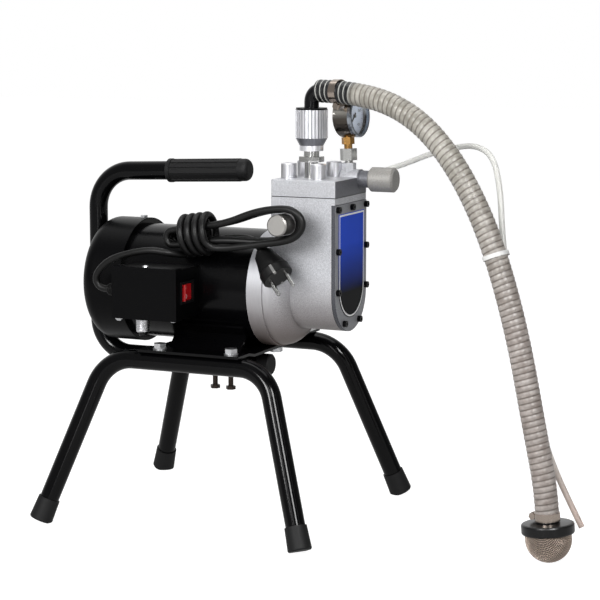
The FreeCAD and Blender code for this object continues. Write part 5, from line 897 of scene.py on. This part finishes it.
roughen(tree, shader, grain(tree, place, 1.5), 0.01, 0.2)
dress(red, "rocker")

# %% [markdown]
# The pressure gauge has a pale enamelled dial under glass. Its ticks are grown on an arc of
# three quarters of a turn, a fine row and a bold one, and plain numbers stand inside them.

# %% The gauge's ticks and numbers
DIAL_CENTRE = drawn(142.8128, 27.0, 464.2414)
DIAL_DEPTH = 0.00808   # how far the dial's face lies ahead of it
NUMBER_RADIUS, NUMBER_HEIGHT = 0.0142, 0.0042
ink = moulded("dial_ink", "16181c", 0.5)
tree, given = new_tree("dial_ticks", ("Radius", "Count", "Long", "Wide"))
arc = geo(tree, "CurveArc", {"Resolution": given["Count"], "Radius": given["Radius"],
                             "Start Angle": math.radians(-45),
                             "Sweep Angle": math.radians(270)})
size = add(tree, "ShaderNodeCombineXYZ", {"X": given["Wide"], "Y": given["Long"],
                                          "Z": 0.0001}).outputs[0]
tick = geo(tree, "MeshCube", {"Size": size})
facing = add(tree, "FunctionNodeAlignRotationToVector",
             {"Vector": geo(tree, "InputTangent")}, axis="X").outputs[0]
close_tree(tree, geo(tree, "InstanceOnPoints", {"Points": arc, "Instance": tick,
                                                "Rotation": facing}), ink)

dial_ahead = Vector((0.9950888, -0.0871557, 0.0469272))
dial_up = (Vector((0, 0, 1)) - dial_ahead * dial_ahead.z).normalized()
dial_right = dial_up.cross(dial_ahead)
dial_place = Matrix.Translation(DIAL_CENTRE + dial_ahead * DIAL_DEPTH)
dial_place @= Matrix((dial_right, dial_up, dial_ahead)).transposed().to_4x4()
dial_marks = [
    grown("fine_ticks", [(0, 0, 0)], tree, Radius=0.0198, Count=41, Long=0.0016, Wide=0.00028),
    grown("bold_ticks", [(0, 0, 0)], tree, Radius=0.0191, Count=9, Long=0.003, Wide=0.00055)]
for index in range(5):
    text = bpy.data.curves.new("dial_number", "FONT")
    text.body = str(index * 100)
    text.size, text.align_x, text.align_y = NUMBER_HEIGHT, "CENTER", "CENTER"
    turn = math.radians(225 - 270 / 4 * index)
    number = shown("dial_number_%d" % index, text)
    digits = drawn_mesh(number)
    bpy.data.objects.remove(number)
    digits.transform(Matrix.Translation((NUMBER_RADIUS * math.cos(turn),
                                         NUMBER_RADIUS * math.sin(turn), 0)))
    digits.materials.append(ink)
    dial_marks.append(shown("dial_number_%d" % index, digits))
for piece in dial_marks:
    piece.data.transform(dial_place)
    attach(piece, "machine")

# %% [markdown]
# The gauge's case is black nickel with a paler bezel. The pale band that a lamp leaves along
# such a case is part of the colour here, so it stays at one height.

# %% The gauge's case, dial and glass
BEZEL_AHEAD, BAND_RISE = 0.0125, 0.007   # from the dial's centre
case, tree, shader, place = surface("black_nickel", "4d4743", Metallic=1.0, Roughness=0.17)
ahead = steered(tree, "DOT_PRODUCT", {0: place, 1: dial_ahead}, "Value")
rise = steered(tree, "DOT_PRODUCT", {0: place, 1: dial_up}, "Value")
on_bezel = worked(tree, "GREATER_THAN", ahead, DIAL_CENTRE.dot(dial_ahead) + BEZEL_AHEAD)
above_band = worked(tree, "SUBTRACT", rise, DIAL_CENTRE.dot(dial_up) + BAND_RISE)
off_band = worked(tree, "ABSOLUTE", above_band)
side = blended(tree, between(tree, off_band, 1, 0, 0.002, 0.009), "4d4843", "ccc8c0")
colour = blended(tree, on_bezel, side, "9aa0a8")
feed(tree, shader, Base_Color=colour)
roughen(tree, shader, grain(tree, place, 0.8), 0.01, 0.2)
dress(case, "gauge_case")
enamel, tree, shader, place = surface("dial_enamel", "c3ccda", Roughness=0.4)
feed(tree, shader, Base_Color=blended(tree, grain(tree, place, 6.0), "b0bacb", "c1cad8"))
dress(enamel, "gauge_dial")
glass, tree, shader, place = surface("lens_glass", "ffffff", Roughness=0.02, IOR=1.2,
                                     Transmission_Weight=1.0)
roughen(tree, shader, grain(tree, place, 14.0), 0.02, 0.2)
dress(glass, "gauge_lens")

# %% [markdown]
# Clear PVC goes beige and a little cloudy where it is stretched over its wire, and its grooves
# are painted darker as painted shade, so the ribs show as fine darker rings. Lower down, paint
# has left it pinker. Over the black elbow the wall is painted black for the elbow seen through
# it, with painted highlights on the rib tops for the wire's bright turns.
# The distance stored in the mesh says where that ends.

# %% Clear plastic
BARB_END, PINKER = (46, 54), (200, 400)   # millimetres along the hose: from one to the other
DIRTY_END = (0.05, 0.16)                  # metres above the floor: pinker below, clean above
clear, tree, shader, place = surface("clear_pvc", "b9b3a5", Roughness=0.34, IOR=1.4)
along = add(tree, "ShaderNodeAttribute", attribute_name="along_mm").outputs["Fac"]
rib = add(tree, "ShaderNodeAttribute", attribute_name="rib").outputs["Fac"]
over_barb = between(tree, along, 1, 0, *BARB_END)
cloud = between(tree, grain(tree, place, 11.0, 3.0), 0, 1, 0.35, 0.65)
upper = blended(tree, cloud, "b3afa5", "d8d4cb")
lower = blended(tree, cloud, "b0a59f", "d4ccc7")
wall = blended(tree, between(tree, along, 0, 1, *PINKER), upper, lower)
# Between the ribs the wall is painted darker: painted shade in the grooves.
groove_shaded = blended(tree, between(tree, rib, 1, 0, 0.0, 0.3), wall, "7d746b")
# Over the barb: painted black for the elbow behind the wall, and painted highlights on the rib
# tops.
elbow_seen_rib_glint = blended(tree, between(tree, rib, 0, 1, 0.8, 0.95), "1a1b1d", "b9b9b4")
feed(tree, shader, Base_Color=blended(tree, over_barb, groove_shaded, elbow_seen_rib_glint))
feed(tree, shader, Transmission_Weight=between(tree, over_barb, 0.4, 0.15))
ribbed_hose.data.materials.append(clear)
milky, tree, shader, place = surface("milky_tube", "e6e6e2", Roughness=0.3, IOR=1.35,
                                     Transmission_Weight=0.35)
cloud = grain(tree, place, 12.0)
low_down = between(tree, split(tree, place)["Z"], 1, 0, *DIRTY_END)
milk = blended(tree, cloud, "dededa", "f4f4f0")
feed(tree, shader, Base_Color=blended(tree, low_down, milk, "d0bfb6"))
return_tube.data.materials.append(milky)

# %% [markdown]
# The cover's plate is a thin printed sheet: blue that darkens to black at its foot, inside a
# white line that follows the edge. The line is the distance from the outline, worked out from
# where each point lies, so it keeps its width round the curved foot.

# %% The cover plate
LINE_INSET, LINE_WIDTH = 0.0018, 0.001   # the white line's middle from the edge, and half of it
BLACK_TO, BLUE_FROM = 0.03, 0.085        # above the plate's foot
plate, tree, shader, place = surface("printed_plate", "1d3fa6", Roughness=0.4, IOR=1.12)
spot = split(tree, place)
low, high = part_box("cover_plate")
reach = (high[1] - low[1]) / 2
foot = worked(tree, "MINIMUM", worked(tree, "SUBTRACT", spot["Z"], low[2] + reach), 0.0)
edge = worked(tree, "MINIMUM",
              worked(tree, "SUBTRACT", reach, distance(tree, foot, spot["Y"])),
              worked(tree, "SUBTRACT", high[2], spot["Z"]))
border = near(tree, edge, LINE_INSET, LINE_WIDTH)
fall = between(tree, spot["Z"], 0, 1, low[2] + BLACK_TO, low[2] + BLUE_FROM)
ground = blended(tree, fall, "050609", "2c55dd")
feed(tree, shader, Base_Color=blended(tree, border, ground, "ffffff"))
dress(plate, "cover_plate")
